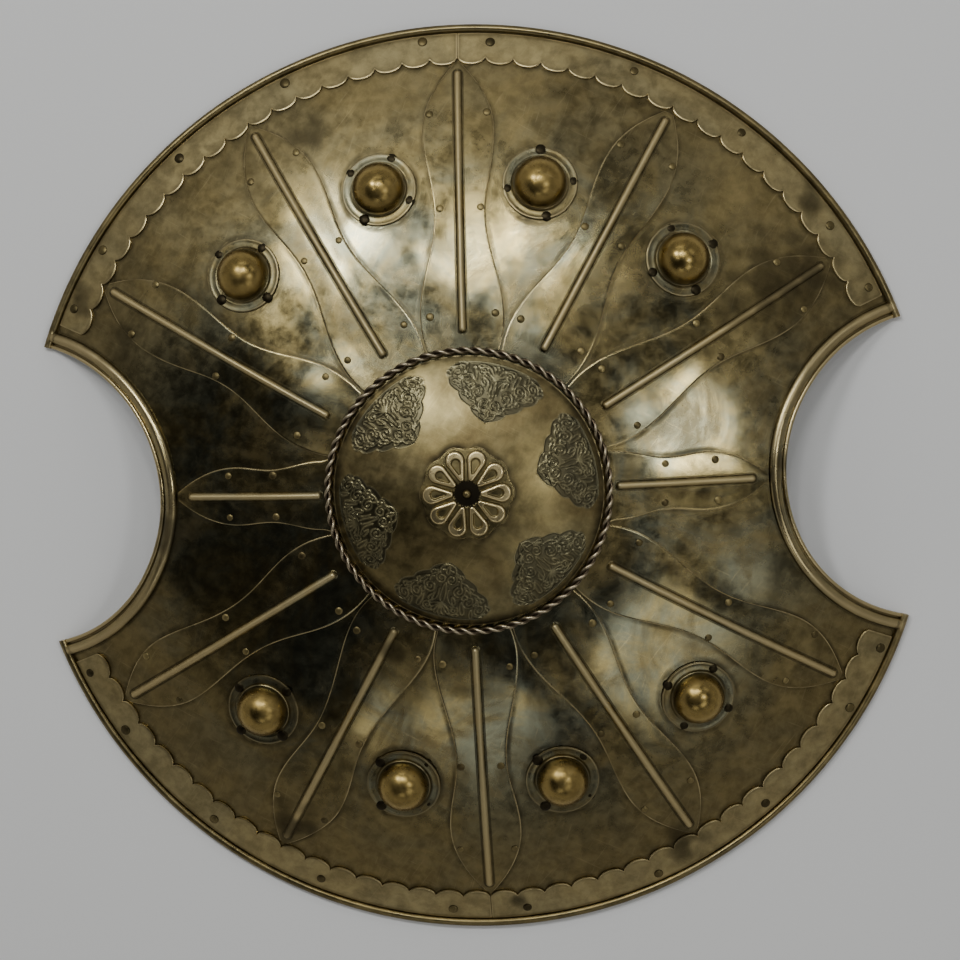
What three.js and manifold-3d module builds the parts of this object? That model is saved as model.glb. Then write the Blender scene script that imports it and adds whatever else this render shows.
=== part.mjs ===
// A round domed brass shield with side notches, riveted leaves, domed studs and a rope-edged centre boss.
// Millimetres, +Z up. The shield lies face up on its rim: z = 0 is the rim plane, +Y is the shield's top.

import * as THREE from 'three';
import { mergeVertices } from 'three/addons/utils/BufferGeometryUtils.js';
import Module from 'manifold-3d';

const wasm = await Module();
wasm.setup();

// Dish
const shieldRadius = 350;
const dishDepth = 90;
const dishSheet = 1.6;
const dishRings = 6;
const dishSegments = 56;
const pieceGap = 0.3;
const sheetLift = 0.5;

// Rolled lip round the dish
const lipWidth = 6;
const lipHeight = 6.4;
const lipLand = 3;

// Side notches, each an arc cut into the rim
const notchRadius = 118;
const notchDepth = 112;
const notchLipWidth = 3;
const notchLipHeight = 2.2;
const notchGroove = 1;
const notchBeadWidth = 9;
const notchBeadHeight = 4.6;
const notchSteps = 20;
const beadSides = 4;

// Scalloped edging strips
const bandSheet = 1.1;
const bandWidth = 19;
const scallopDepth = 6;
const scallopsPerBand = 18;
const bandEndFromCorner = 20;
const stepsPerScallop = 3;
const bandSeam = 0.6;

// Leaves. Lengths along a leaf run from its root under the rope, or back from its tip
const leafCount = 12;
const leafSheet = 1.1;
const leafRootGap = 1.1;
const leafTipGap = 0.5;
const shortLeafTipGap = 1;
const ridgeWidth = 6.8;
const ridgeHeight = 3.2;
const ridgeEndLength = 6;
const leafSteps = 10;
const longLeaf = {
  tipHalfWidth: 4, tipLength: 51.5, shoulderHalfWidth: 27, bladeLength: 60, waistHalfWidth: 19.5,
  hipLength: 25, hipGap: 3.3, ridgeFromRoot: 13, ridgeFromTip: 4.5,
};
const shortLeaf = {
  tipHalfWidth: 2.5, tipLength: 46, shoulderHalfWidth: 22.5, bladeLength: 28, waistHalfWidth: 20,
  hipLength: 7, hipGap: 4.5, ridgeFromRoot: 5, ridgeFromTip: 9,
};

// Domed studs between the leaves
const studFromBand = 90;
const studFlangeRadius = 28.5;
const studFlangeSheet = 1.1;
const studDomeRadius = 20;
const studSheet = 1.2;
const studSegments = 12;
const studDomeSteps = 3;
const studHalfHours = [0.5, 1.5, 4.5, 5.5, 6.5, 7.5, 10.5, 11.5];

// Centre boss, its rope and its rosette
const bossRadius = 102;
const bossHeight = 23;
const bossSheet = 1.3;
const bossSegments = 28;
const bossRings = 4;
const ropeRadius = 3.2;
const ropeFromBoss = 3.6;
const leafRootFromBoss = 3;
const ropeSides = 6;
const ropeSegments = 40;
const petalCount = 10;
const rosetteRadius = 35.4;
const petalNotch = 2.4;
const rosetteThickness = 2;
const rosetteEyeRadius = 9.5;
const rosetteEyeDepth = 1.2;
const stepsPerPetal = 4;
const rosetteStudRadius = 3.2;
const rosetteStudSteps = 3;

// Arm band and hand grip on the back
const strapThickness = 2.2;
const strapFootLength = 20;
const strapArcSteps = 14;
const armBandWidth = 62;
const armBandSpan = 108;
const armBandClearance = 70;
const handGripWidth = 26;
const handGripSpan = 112;
const handGripClearance = 42;
const handGripRadius = 178;

const sphereRadius = (shieldRadius ** 2 + dishDepth ** 2) / (2 * dishDepth);
const sphereCentre = new THREE.Vector3(0, 0, dishDepth - sphereRadius);
const insideRadius = sphereRadius - dishSheet;
const notchCentre = shieldRadius - notchDepth + notchRadius;
const notchEdging = notchLipWidth + notchGroove + notchBeadWidth;
const cornerAngle = Math.acos((shieldRadius ** 2 + notchCentre ** 2 - notchRadius ** 2)
  / (2 * shieldRadius * notchCentre));
const bandStart = cornerAngle + bandEndFromCorner / shieldRadius;
const scallopPitch = (Math.PI / 2 - bandStart) / scallopsPerBand;
const bandCuspRadius = shieldRadius - lipWidth - bandWidth;
const studCircleRadius = bandCuspRadius - studFromBand;
const ropeCircleRadius = bossRadius + ropeFromBoss;
const leafRootRadius = bossRadius + leafRootFromBoss;
const longLeafTip = bandCuspRadius - scallopDepth - leafTipGap;
const shortLeafTip = shieldRadius - notchDepth - notchEdging - shortLeafTipGap;
const hourAngle = (hour) => THREE.MathUtils.degToRad(90 - 30 * hour);

// Height of the dish's front surface above the rim plane
function dishHeight(radius) {
  return Math.sqrt(sphereRadius ** 2 - radius ** 2) + sphereCentre.z;
}

// A point over plan position x, y, lifted off the dish's front surface
function overDish(x, y, lift) {
  const point = new THREE.Vector3(x, y, dishHeight(Math.hypot(x, y)));
  return point.addScaledVector(dishNormal(point), lift);
}

function dishNormal(point) {
  return point.clone().sub(sphereCentre).normalize();
}

// Merges the shared vertices of a geometry and drops faces with no area
function weld(geometry) {
  const bare = geometry.clone();
  bare.deleteAttribute('normal');
  bare.deleteAttribute('uv');
  const merged = mergeVertices(bare, 1e-4);
  const source = merged.index.array;
  const faces = [];
  for (let i = 0; i < source.length; i += 3) {
    const [a, b, c] = [source[i], source[i + 1], source[i + 2]];
    if (a !== b && b !== c && c !== a) faces.push(a, b, c);
  }
  merged.setIndex(faces);
  merged.computeVertexNormals();
  return merged;
}

function toSolid(geometry) {
  const welded = weld(geometry);
  return new wasm.Manifold(new wasm.Mesh({
    numProp: 3,
    vertProperties: Float32Array.from(welded.attributes.position.array),
    triVerts: Uint32Array.from(welded.index.array),
  }));
}

function fromSolid(solid) {
  const mesh = solid.getMesh();
  const geometry = new THREE.BufferGeometry();
  geometry.setAttribute('position', new THREE.BufferAttribute(mesh.vertProperties, 3));
  geometry.setIndex(new THREE.BufferAttribute(mesh.triVerts, 1));
  geometry.computeVertexNormals();
  return geometry;
}

// A closed solid through rings of points, with a fan of faces over each end
function loft(rings) {
  const sides = rings[0].length;
  const points = rings.flat();
  const faces = [];
  for (let i = 0; i < rings.length - 1; i++) {
    for (let j = 0; j < sides; j++) {
      const [a, b] = [i * sides + j, i * sides + (j + 1) % sides];
      faces.push(a, b, b + sides, a, b + sides, a + sides);
    }
  }
  const addCap = (ring, offset, flip) => {
    const centre = points.length;
    const sum = ring.reduce((total, point) => total.add(point), new THREE.Vector3());
    points.push(sum.divideScalar(ring.length));
    for (let j = 0; j < sides; j++) {
      const [a, b] = [offset + j, offset + (j + 1) % sides];
      faces.push(centre, flip ? b : a, flip ? a : b);
    }
  };
  addCap(rings[0], 0, true);
  addCap(rings.at(-1), (rings.length - 1) * sides, false);
  const geometry = new THREE.BufferGeometry().setFromPoints(points);
  geometry.setIndex(faces);
  return weld(geometry);
}

// Turns a profile of radius and height about the Z axis
function turned(profile, segments) {
  const points = profile.map(([radius, height]) => new THREE.Vector2(radius, height));
  return weld(new THREE.LatheGeometry(points, segments).rotateX(Math.PI / 2));
}

// Points of a spherical cap's section, from the axis out to a radius
function capSection(radius, centreHeight, edge, steps) {
  const edgeAngle = Math.asin(edge / radius);
  return Array.from({ length: steps + 1 }, (_, i) => {
    const angle = edgeAngle * i / steps;
    return [radius * Math.sin(angle), centreHeight + radius * Math.cos(angle)];
  });
}

// Dish: a turned sheet with its lip, cut by both notches and edged along them
function dish() {
  const lipInner = shieldRadius - lipWidth;
  const landInner = shieldRadius - (lipWidth + lipLand) / 2;
  const inner = capSection(insideRadius, sphereCentre.z, lipInner - dishSheet / 2, dishRings);
  const outer = capSection(sphereRadius, sphereCentre.z, lipInner, dishRings);
  const lip = [
    [landInner, 0], [landInner + lipLand, 0],
    [shieldRadius, lipHeight * 0.4], [shieldRadius - lipWidth * 0.15, lipHeight * 0.82],
    [shieldRadius - lipWidth * 0.5, lipHeight], [lipInner + lipWidth * 0.1, lipHeight * 0.85],
  ];
  let solid = toSolid(turned([...inner, ...lip, ...outer.reverse()], dishSegments));
  const innerLip = disc(shieldRadius - lipWidth / 2);
  for (const side of [1, -1]) {
    solid = solid.subtract(notchCutter(side));
    solid = solid.add(notchStrip(side, notchLipSection()).intersect(innerLip));
    solid = solid.add(notchStrip(side, notchBeadSection()).intersect(innerLip));
  }
  return fromSolid(solid);
}

function disc(radius) {
  const cylinder = new THREE.CylinderGeometry(radius, radius, 4 * dishDepth, dishSegments);
  return toSolid(cylinder.rotateX(Math.PI / 2));
}

function notchCutter(side) {
  const cylinder = new THREE.CylinderGeometry(notchRadius, notchRadius, 4 * dishDepth, 3 * notchSteps);
  return toSolid(cylinder.rotateX(Math.PI / 2).translate(side * notchCentre, 0, 0));
}

// Sections run from the notch's edge into the sheet: distance from the edge, and lift off the surface
function notchLipSection() {
  const under = -dishSheet * 0.6;
  return [[0, under], [0, notchLipHeight], [notchLipWidth, notchLipHeight], [notchLipWidth, under]];
}

function notchBeadSection() {
  const start = notchLipWidth + notchGroove;
  const round = Array.from({ length: beadSides + 1 }, (_, i) => {
    const angle = Math.PI * (1 - i / beadSides);
    return [start + notchBeadWidth / 2 * (1 + Math.cos(angle)), notchBeadHeight * Math.sin(angle)];
  });
  const under = -dishSheet * 0.6;
  return [[start, under], ...round, [start + notchBeadWidth, under]];
}

// Sweeps a section along the notch's arc, past both corners
function notchStrip(side, section) {
  const halfArc = Math.acos((notchCentre ** 2 + notchRadius ** 2 - shieldRadius ** 2)
    / (2 * notchCentre * notchRadius));
  const rings = Array.from({ length: notchSteps + 1 }, (_, i) => {
    const angle = Math.PI + halfArc * (2 * i / notchSteps - 1);
    return section.map(([distance, lift]) => {
      const reach = notchRadius + distance;
      const x = notchCentre + reach * Math.cos(angle);
      return overDish(side * x, side * reach * Math.sin(angle), lift);
    });
  });
  return toSolid(loft(rings));
}

// One scalloped strip, from its square end beside a notch to the seam
function rimBand() {
  const seamAngle = bandSeam / 2 / bandCuspRadius;
  const steps = scallopsPerBand * stepsPerScallop;
  const lean = (sheetLift + bandSheet) * shieldRadius / sphereRadius;
  const outerEdge = (shieldRadius - lipWidth) * Math.cos(Math.PI / dishSegments) - pieceGap - lean;
  const rings = Array.from({ length: steps + 1 }, (_, i) => {
    const turn = i / stepsPerScallop;
    const bulge = scallopDepth * Math.sqrt(1 - (2 * (turn % 1) - 1) ** 2);
    const angle = THREE.MathUtils.clamp(turn * scallopPitch, seamAngle, Math.PI / 2 - bandStart - seamAngle);
    const edge = (radius, lift) => overDish(radius * Math.cos(angle), radius * Math.sin(angle), lift);
    const innerEdge = bandCuspRadius - bulge;
    return [
      edge(innerEdge, sheetLift), edge(outerEdge, sheetLift),
      edge(outerEdge, sheetLift + bandSheet), edge(innerEdge, sheetLift + bandSheet),
    ];
  });
  return loft(rings.reverse());
}

// Distances from the shield's centre at which a leaf changes shape, for a leaf that ends at a tip radius
function leafStops(leaf, tip) {
  const shoulder = tip - leaf.tipLength;
  return {
    tip, shoulder, waist: shoulder - leaf.bladeLength, hip: leafRootRadius + leaf.hipLength,
    ridgeInner: leafRootRadius + leaf.ridgeFromRoot, ridgeOuter: tip - leaf.ridgeFromTip,
  };
}

// Half width of a leaf at a distance from the shield's centre
function leafHalfWidth(leaf, stops, radius) {
  const boundary = (at, gap) => at * Math.tan(Math.PI / leafCount) - gap;
  const hipHalfWidth = boundary(stops.hip, leaf.hipGap);
  const ease = (from, to, share) => from + (to - from) * (1 - Math.cos(Math.PI * share)) / 2;
  if (radius < stops.hip) {
    const rootHalfWidth = boundary(leafRootRadius, leafRootGap);
    const share = (stops.hip - radius) / leaf.hipLength;
    return hipHalfWidth + (rootHalfWidth - hipHalfWidth) * share ** 2;
  }
  if (radius < stops.waist) {
    return ease(hipHalfWidth, leaf.waistHalfWidth, (radius - stops.hip) / (stops.waist - stops.hip));
  }
  if (radius < stops.shoulder) {
    return ease(leaf.waistHalfWidth, leaf.shoulderHalfWidth, (radius - stops.waist) / leaf.bladeLength);
  }
  const share = (radius - stops.shoulder) / leaf.tipLength;
  return leaf.shoulderHalfWidth + (leaf.tipHalfWidth - leaf.shoulderHalfWidth) * share ** 2;
}

// A leaf along +X: a sheet on the dish with a raised ridge along its middle
function leafPlate(leaf, tip, steps) {
  const stops = leafStops(leaf, tip);
  const step = (tip - leafRootRadius) / steps;
  const even = Array.from({ length: steps - 1 }, (_, i) => leafRootRadius + step * (i + 1));
  const ridgeEnds = [
    stops.ridgeInner, stops.ridgeInner + ridgeEndLength, stops.ridgeOuter - ridgeEndLength, stops.ridgeOuter,
  ];
  const between = even.filter((radius) => ridgeEnds.every((end) => Math.abs(end - radius) > step * 0.3));
  const stations = [leafRootRadius, ...between, ...ridgeEnds, tip].sort((a, b) => a - b);
  const top = sheetLift + leafSheet;
  const rings = stations.map((radius) => {
    const half = leafHalfWidth(leaf, stops, radius);
    const ridgeHalf = Math.min(ridgeWidth / 2, half * 0.6);
    const fromEnd = Math.min(radius - stops.ridgeInner, stops.ridgeOuter - radius);
    const crest = ridgeHeight * THREE.MathUtils.clamp(fromEnd / ridgeEndLength, 0, 1);
    return [
      overDish(radius, -half, sheetLift), overDish(radius, -half, top),
      overDish(radius, -ridgeHalf, top), overDish(radius, 0, top + crest), overDish(radius, ridgeHalf, top),
      overDish(radius, half, top), overDish(radius, half, sheetLift), overDish(radius, 0, sheetLift),
    ];
  });
  return loft(rings.reverse());
}

// A stud: flange and hollow half-round dome, its flange on z = 0
function studBoss() {
  const inner = Array.from({ length: studDomeSteps }, (_, i) => {
    const angle = Math.PI / 2 * (1 - i / studDomeSteps);
    const radius = studDomeRadius - studSheet;
    return [radius * Math.sin(angle), radius * Math.cos(angle)];
  }).reverse();
  const outer = Array.from({ length: studDomeSteps }, (_, i) => {
    const angle = Math.PI / 2 * i / studDomeSteps;
    return [studDomeRadius * Math.sin(angle), studFlangeSheet + studDomeRadius * Math.cos(angle)];
  }).reverse();
  return turned([
    [0, studDomeRadius - studSheet], ...inner,
    [studFlangeRadius, 0], [studFlangeRadius, studFlangeSheet], [studDomeRadius, studFlangeSheet],
    ...outer,
  ], studSegments);
}

const bossSphereRadius = (bossRadius ** 2 + bossHeight ** 2) / (2 * bossHeight);
const bossSphereCentre = dishHeight(bossRadius) + pieceGap + bossHeight - bossSphereRadius;

function centreBoss() {
  const base = dishHeight(bossRadius) + pieceGap;
  const insideEdge = bossRadius - 3 * bossSheet;
  const inner = capSection(bossSphereRadius - bossSheet, bossSphereCentre, insideEdge, bossRings);
  const outer = capSection(bossSphereRadius, bossSphereCentre, bossRadius, bossRings);
  const slope = bossRadius / Math.sqrt(sphereRadius ** 2 - bossRadius ** 2);
  const seat = [bossRadius - bossSheet, base + slope * bossSheet];
  return turned([...inner, seat, ...outer.reverse()], bossSegments);
}

function ropeRing() {
  const centre = dishHeight(ropeCircleRadius) + sheetLift + leafSheet + pieceGap + ropeRadius;
  const section = Array.from({ length: ropeSides + 1 }, (_, i) => {
    const angle = 2 * Math.PI * (i % ropeSides) / ropeSides;
    return [ropeCircleRadius + ropeRadius * Math.cos(angle), centre + ropeRadius * Math.sin(angle)];
  });
  return turned(section, ropeSegments);
}

// A flower-edged plate on the centre boss, with a sunk eye
function rosette() {
  const bossPoint = (radius, angle, lift) => {
    const tilt = Math.asin(radius / bossSphereRadius);
    const reach = bossSphereRadius + lift;
    return new THREE.Vector3(
      reach * Math.sin(tilt) * Math.cos(angle), reach * Math.sin(tilt) * Math.sin(angle),
      bossSphereCentre + reach * Math.cos(tilt),
    );
  };
  const steps = petalCount * stepsPerPetal;
  const top = pieceGap + rosetteThickness;
  const rings = Array.from({ length: steps }, (_, i) => {
    const angle = 2 * Math.PI * i / steps;
    const edge = rosetteRadius - petalNotch * (1 - Math.abs(Math.cos(angle * petalCount / 2)));
    return [
      bossPoint(0, 0, pieceGap), bossPoint(edge / 3, angle, pieceGap),
      bossPoint(edge * 2 / 3, angle, pieceGap), bossPoint(edge, angle, pieceGap), bossPoint(edge, angle, top),
      bossPoint(rosetteEyeRadius, angle, top), bossPoint(rosetteEyeRadius, angle, top - rosetteEyeDepth),
      bossPoint(0, 0, top - rosetteEyeDepth),
    ];
  });
  const points = rings.flat();
  const sides = rings[0].length;
  const faces = [];
  for (let i = 0; i < steps; i++) {
    for (let j = 0; j < sides - 1; j++) {
      const [a, b] = [i * sides + j, ((i + 1) % steps) * sides + j];
      faces.push(a, b, b + 1, a, b + 1, a + 1);
    }
  }
  const geometry = new THREE.BufferGeometry().setFromPoints(points);
  geometry.setIndex(faces);
  return weld(geometry);
}

function rosetteStud() {
  const half = Array.from({ length: rosetteStudSteps }, (_, i) => {
    const angle = Math.PI / 2 * (1 - i / rosetteStudSteps);
    return [rosetteStudRadius * Math.sin(angle), rosetteStudRadius * Math.cos(angle)];
  });
  return turned([[0, 0], ...half, [0, rosetteStudRadius]], studSegments);
}

// A strap arching down from the back, in the Y-Z plane, with a foot at each end. Its feet hang from z = 0
function backStrap(width, span, clearance) {
  const half = span / 2;
  const drop = strapThickness;
  const arch = (reachY, reachZ) => Array.from({ length: strapArcSteps + 1 }, (_, i) => {
    const angle = Math.PI * (i / strapArcSteps);
    return new THREE.Vector2(reachY * Math.cos(angle), -reachZ * Math.sin(angle));
  });
  const foot = half + strapFootLength;
  const outer = arch(half + drop, clearance + drop).slice(1, -1);
  const shape = new THREE.Shape([
    new THREE.Vector2(foot, 0), new THREE.Vector2(foot, -drop), new THREE.Vector2(half + drop, -drop),
    ...outer.filter((point) => point.y < -drop),
    new THREE.Vector2(-half - drop, -drop), new THREE.Vector2(-foot, -drop), new THREE.Vector2(-foot, 0),
    ...arch(half, clearance).reverse(),
  ]);
  const solid = new THREE.ExtrudeGeometry(shape, { depth: width, bevelEnabled: false, steps: 1 });
  solid.translate(0, 0, -width / 2);
  solid.rotateX(Math.PI / 2).rotateZ(Math.PI / 2);
  return weld(solid);
}

// Depth that a flat foot must hang below the dish's curved inside, at its corners and at the dish's facets
function footDrop(width, span) {
  const corner = Math.hypot(width / 2, span / 2 + strapFootLength);
  const facetLength = Math.asin(shieldRadius / sphereRadius) * sphereRadius / dishRings;
  const facetSag = facetLength ** 2 / (8 * insideRadius);
  return insideRadius - Math.sqrt(insideRadius ** 2 - corner ** 2) + facetSag + pieceGap;
}

const brass = (color, roughness) => new THREE.MeshStandardMaterial({ color, roughness, metalness: 1 });
const agedBrass = brass(0x8c7f56, 0.42);
const edgingBrass = brass(0xa8916a, 0.4);
const polishedBrass = brass(0xb99a58, 0.25);
const bossBrass = brass(0x7f704a, 0.4);
const darkWire = brass(0x4a4038, 0.45);
const leather = new THREE.MeshStandardMaterial({ color: 0x4b2f1d, roughness: 0.75, metalness: 0 });

const shield = new THREE.Group();

function place(name, geometry, material) {
  const mesh = new THREE.Mesh(geometry, material.clone());
  mesh.name = name;
  shield.add(mesh);
  return mesh;
}

place('dish', dish(), agedBrass);

const bandTurns = { upper_right: bandStart, upper_left: Math.PI / 2, lower_left: Math.PI + bandStart,
  lower_right: -Math.PI / 2 };
for (const [where, turn] of Object.entries(bandTurns)) {
  place(`rim_band_${where}`, rimBand(), edgingBrass).rotation.z = turn;
}

for (let hour = 1; hour <= leafCount; hour++) {
  const beside = hour === 3 || hour === 9;
  const geometry = beside
    ? leafPlate(shortLeaf, shortLeafTip, leafSteps / 2)
    : leafPlate(longLeaf, longLeafTip, leafSteps);
  place(`leaf_${String(hour).padStart(2, '0')}`, geometry, agedBrass).rotation.z = hourAngle(hour);
}

studHalfHours.forEach((hour, index) => {
  const [x, y] = [Math.cos(hourAngle(hour)), Math.sin(hourAngle(hour))];
  const mesh = place(`stud_boss_${index + 1}`, studBoss(), polishedBrass);
  mesh.position.copy(overDish(studCircleRadius * x, studCircleRadius * y, pieceGap));
  mesh.quaternion.setFromUnitVectors(new THREE.Vector3(0, 0, 1), dishNormal(mesh.position));
});

place('centre_boss', centreBoss(), bossBrass);
place('rope_ring', ropeRing(), darkWire);
place('rosette', rosette(), bossBrass);
place('rosette_stud', rosetteStud(), polishedBrass).position.z =
  bossSphereCentre + bossSphereRadius + pieceGap + rosetteThickness - rosetteEyeDepth + pieceGap;

// The straps hang from the back, each square to the dish where it is fixed
const armBand = place('arm_band', backStrap(armBandWidth, armBandSpan, armBandClearance), leather);
armBand.position.z = sphereCentre.z + insideRadius - footDrop(armBandWidth, armBandSpan);
const handGrip = place('hand_grip', backStrap(handGripWidth, handGripSpan, handGripClearance), leather);
const gripTilt = Math.asin(handGripRadius / insideRadius);
const gripReach = insideRadius - footDrop(handGripWidth, handGripSpan);
handGrip.position.set(-gripReach * Math.sin(gripTilt), 0, sphereCentre.z + gripReach * Math.cos(gripTilt));
handGrip.rotation.y = -gripTilt;

export default shield;
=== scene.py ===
import math
from functools import partial

import bmesh
import bpy
import numpy as np
from bpy.props import FloatProperty, FloatVectorProperty, IntProperty, PointerProperty
from mathutils import Euler, Matrix, Vector, kdtree


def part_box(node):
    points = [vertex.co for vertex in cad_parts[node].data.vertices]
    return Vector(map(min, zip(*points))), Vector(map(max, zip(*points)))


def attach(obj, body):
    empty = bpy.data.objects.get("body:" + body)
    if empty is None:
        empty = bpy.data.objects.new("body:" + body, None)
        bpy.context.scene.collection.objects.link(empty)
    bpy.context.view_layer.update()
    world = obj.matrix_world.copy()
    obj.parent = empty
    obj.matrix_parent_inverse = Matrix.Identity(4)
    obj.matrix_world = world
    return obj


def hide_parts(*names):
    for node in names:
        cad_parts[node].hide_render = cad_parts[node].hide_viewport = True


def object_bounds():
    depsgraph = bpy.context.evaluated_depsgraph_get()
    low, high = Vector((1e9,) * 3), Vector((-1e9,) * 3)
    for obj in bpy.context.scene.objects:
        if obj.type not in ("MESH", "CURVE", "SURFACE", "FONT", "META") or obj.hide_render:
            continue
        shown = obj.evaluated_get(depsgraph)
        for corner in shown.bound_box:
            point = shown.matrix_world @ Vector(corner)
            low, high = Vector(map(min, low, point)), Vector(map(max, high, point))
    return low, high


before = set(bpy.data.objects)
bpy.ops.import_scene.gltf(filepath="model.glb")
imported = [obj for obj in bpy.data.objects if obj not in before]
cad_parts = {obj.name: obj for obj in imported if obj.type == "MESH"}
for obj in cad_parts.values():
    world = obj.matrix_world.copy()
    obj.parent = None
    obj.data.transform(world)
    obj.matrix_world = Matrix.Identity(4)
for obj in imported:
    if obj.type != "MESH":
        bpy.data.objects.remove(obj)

bl_info = {
    "name": "Notched brass shield",
    "version": (1, 0, 0),
    "blender": (4, 5, 0),
    "location": "3D View > Sidebar > Shield",
    "description": "Dresses the packed shield in beaten, riveted and patinated brass",
    "category": "Object",
}

CAD_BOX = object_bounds()
MM = 0.001
DISH_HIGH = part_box("dish")[1]
ROPE_LOW, ROPE_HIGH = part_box("rope_ring")
BOSS_LOW, BOSS_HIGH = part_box("centre_boss")
ARM_LOW, ARM_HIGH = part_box("arm_band")
GRIP_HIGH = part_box("hand_grip")[1]
LEAF_COUNT = 12
SIDE_HOURS = (3, 9)
STUD_HOURS = (0.5, 1.5, 4.5, 5.5, 6.5, 7.5, 10.5, 11.5)
BAND_QUARTERS = {
    "rim_band_upper_right": (1, 1),
    "rim_band_upper_left": (-1, 1),
    "rim_band_lower_left": (-1, -1),
    "rim_band_lower_right": (1, -1),
}
FAR_AWAY = 1.0


# Sizes and colours that a user would change

def length(name, description, default):
    return FloatProperty(name=name, description=description, default=default, unit="LENGTH")


def tint(name, description, default):
    return FloatVectorProperty(
        name=name, description=description, default=default, subtype="COLOR", size=3, min=0.0, max=1.0
    )


class DishSizes(bpy.types.PropertyGroup):
    """Sizes of the dish, its lip and its notches"""

    radius: length("Radius", "Radius of the round outline", DISH_HIGH.y)
    depth: length("Depth", "Height of the dome over the rim plane", DISH_HIGH.z)
    sheet: length("Sheet", "Thickness of the dish's sheet", 1.6 * MM)
    lip_width: length("Lip width", "Width of the rolled outer lip", 6 * MM)
    lip_height: length("Lip height", "Height of the rolled outer lip", 6.4 * MM)
    lip_land: length("Lip land", "Width of the flat that the lip lies on", 3 * MM)
    notch_radius: length("Notch radius", "Radius of the notches' arc", 118 * MM)
    notch_depth: length("Notch depth", "Depth of the notches from the round outline", 112 * MM)
    fold_width: length("Fold width", "Width of the folded lip along a notch", 3 * MM)
    fold_height: length("Fold height", "Height of the folded lip along a notch", 2.2 * MM)
    fold_gap: length("Fold gap", "Groove between the folded lip and the bead", 1 * MM)
    bead_width: length("Bead width", "Width of the raised bead along a notch", 9 * MM)
    bead_height: length("Bead height", "Height of the raised bead along a notch", 4.6 * MM)
    beating: FloatProperty(name="Beating", description="Slope of the hollows left by beating", default=0.011)


class PlateSizes(bpy.types.PropertyGroup):
    """Sizes of the edging strips and leaves"""

    lift: length("Lift", "Height of a plate's underside over the dish", 0.5 * MM)
    sheet: length("Sheet", "Thickness of the plates", 1.1 * MM)
    band_width: length("Band width", "Width of a strip from the lip to its cusps", 19 * MM)
    scallop_depth: length("Scallop depth", "Depth of the scallops", 6 * MM)
    scallops: IntProperty(name="Scallops", description="Scallops on one strip", default=18)
    band_end: length("Band end", "Distance from a corner to a strip's square end", 20 * MM)
    seam: length("Seam", "Gap between two strips", 0.6 * MM)
    root_radius: length("Root radius", "Distance of a leaf's root from the centre", 105 * MM)
    root_gap: length("Root gap", "Half the gap between two leaves at the root", 1.1 * MM)
    ridge_width: length("Ridge width", "Width of a leaf's ridge", 6.8 * MM)
    ridge_height: length("Ridge height", "Height of a leaf's ridge", 3.2 * MM)
    ridge_end: length("Ridge end", "Length of the ridge's rounded ends", 6 * MM)


class StudSizes(bpy.types.PropertyGroup):
    """Sizes of the domed studs and rivets"""

    from_band: length("From band", "Distance from the cusps in to the studs' circle", 90 * MM)
    flange: length("Flange", "Radius of a stud's flange", 28.5 * MM)
    dome: length("Dome", "Radius of a stud's dome", 20 * MM)
    sheet: length("Sheet", "Thickness of a stud's sheet", 1.1 * MM)
    rivet: length("Rivet", "Radius of a rivet's head", 3.0 * MM)
    rivet_height: length("Rivet height", "Height of a rivet's head", 0.9 * MM)


class BossSizes(bpy.types.PropertyGroup):
    """Sizes of the centre boss, rope and rosette"""

    radius: length("Radius", "Radius of the centre boss", BOSS_HIGH.x)
    sheet: length("Sheet", "Thickness of the boss's sheet", 1.3 * MM)
    rope_wire: length("Rope wire", "Radius of one wire of the rope", 1.4 * MM)
    rope_turns: IntProperty(name="Rope turns", description="Turns of the two wires", default=34)
    rosette: length("Rosette", "Radius of the rosette", 35.4 * MM)
    petals: IntProperty(name="Petals", description="Petals of the rosette", default=10)
    eye: length("Eye", "Radius of the rosette's sunk eye", 9.5 * MM)
    eye_stud: length("Eye stud", "Radius of the stud in the rosette's eye", 3.2 * MM)
    engraving_depth: length("Engraving depth", "Depth of the chased panels", 0.5 * MM)


class StrapSizes(bpy.types.PropertyGroup):
    """Sizes of the arm band and hand grip"""

    thickness: length("Thickness", "Thickness of the leather", 2.2 * MM)
    foot: length("Foot", "Length of a strap's foot", 20 * MM)
    grip_radius: length("Grip radius", "Distance of the hand grip from the centre", 178 * MM)
    grip_width: length("Grip width", "Width of the hand grip", 26 * MM)
    grip_clearance: length("Grip clearance", "Space under the hand grip's arch", 42 * MM)
    arm_clearance: length("Arm clearance", "Space under the arm band's arch", 70 * MM)


class ShieldColours(bpy.types.PropertyGroup):
    """Colours of the finishes"""

    brass: tint("Brass", "Rubbed brass", (0.300, 0.236, 0.098))
    edging: tint("Edging", "Brass of the edging strips", (0.42, 0.335, 0.155))
    # Pale brass paints worn edges and crests, and the painted highlights on them
    pale_brass: tint("Pale brass", "Polished edges and crests", (0.66, 0.53, 0.27))
    gold_brass: tint("Gold brass", "Domes of the studs", (0.31, 0.220, 0.072))
    olive: tint("Olive", "Greenish grey patina", (0.150, 0.170, 0.128))
    brown: tint("Brown", "Brown patina", (0.170, 0.126, 0.053))
    # The stain colour also paints the shade in creases, beside edges and round the domes' feet
    stain: tint("Stain", "Dark stains", (0.020, 0.016, 0.010))
    wire: tint("Wire", "Darkened wire", (0.100, 0.074, 0.046))
    # The crests' colour is painted for wear and as a painted highlight
    rubbed_and_highlit_wire: tint("Rubbed wire", "Crests of the wire", (0.50, 0.42, 0.28))
    leather: tint("Leather", "Waxed leather", (0.090, 0.040, 0.018))
    thread: tint("Thread", "Waxed thread", (0.42, 0.34, 0.22))
    floor: tint("Floor", "Studio floor", (0.86, 0.85, 0.83))


def settings():
    return bpy.context.scene


# Surfaces and outlines

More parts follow.
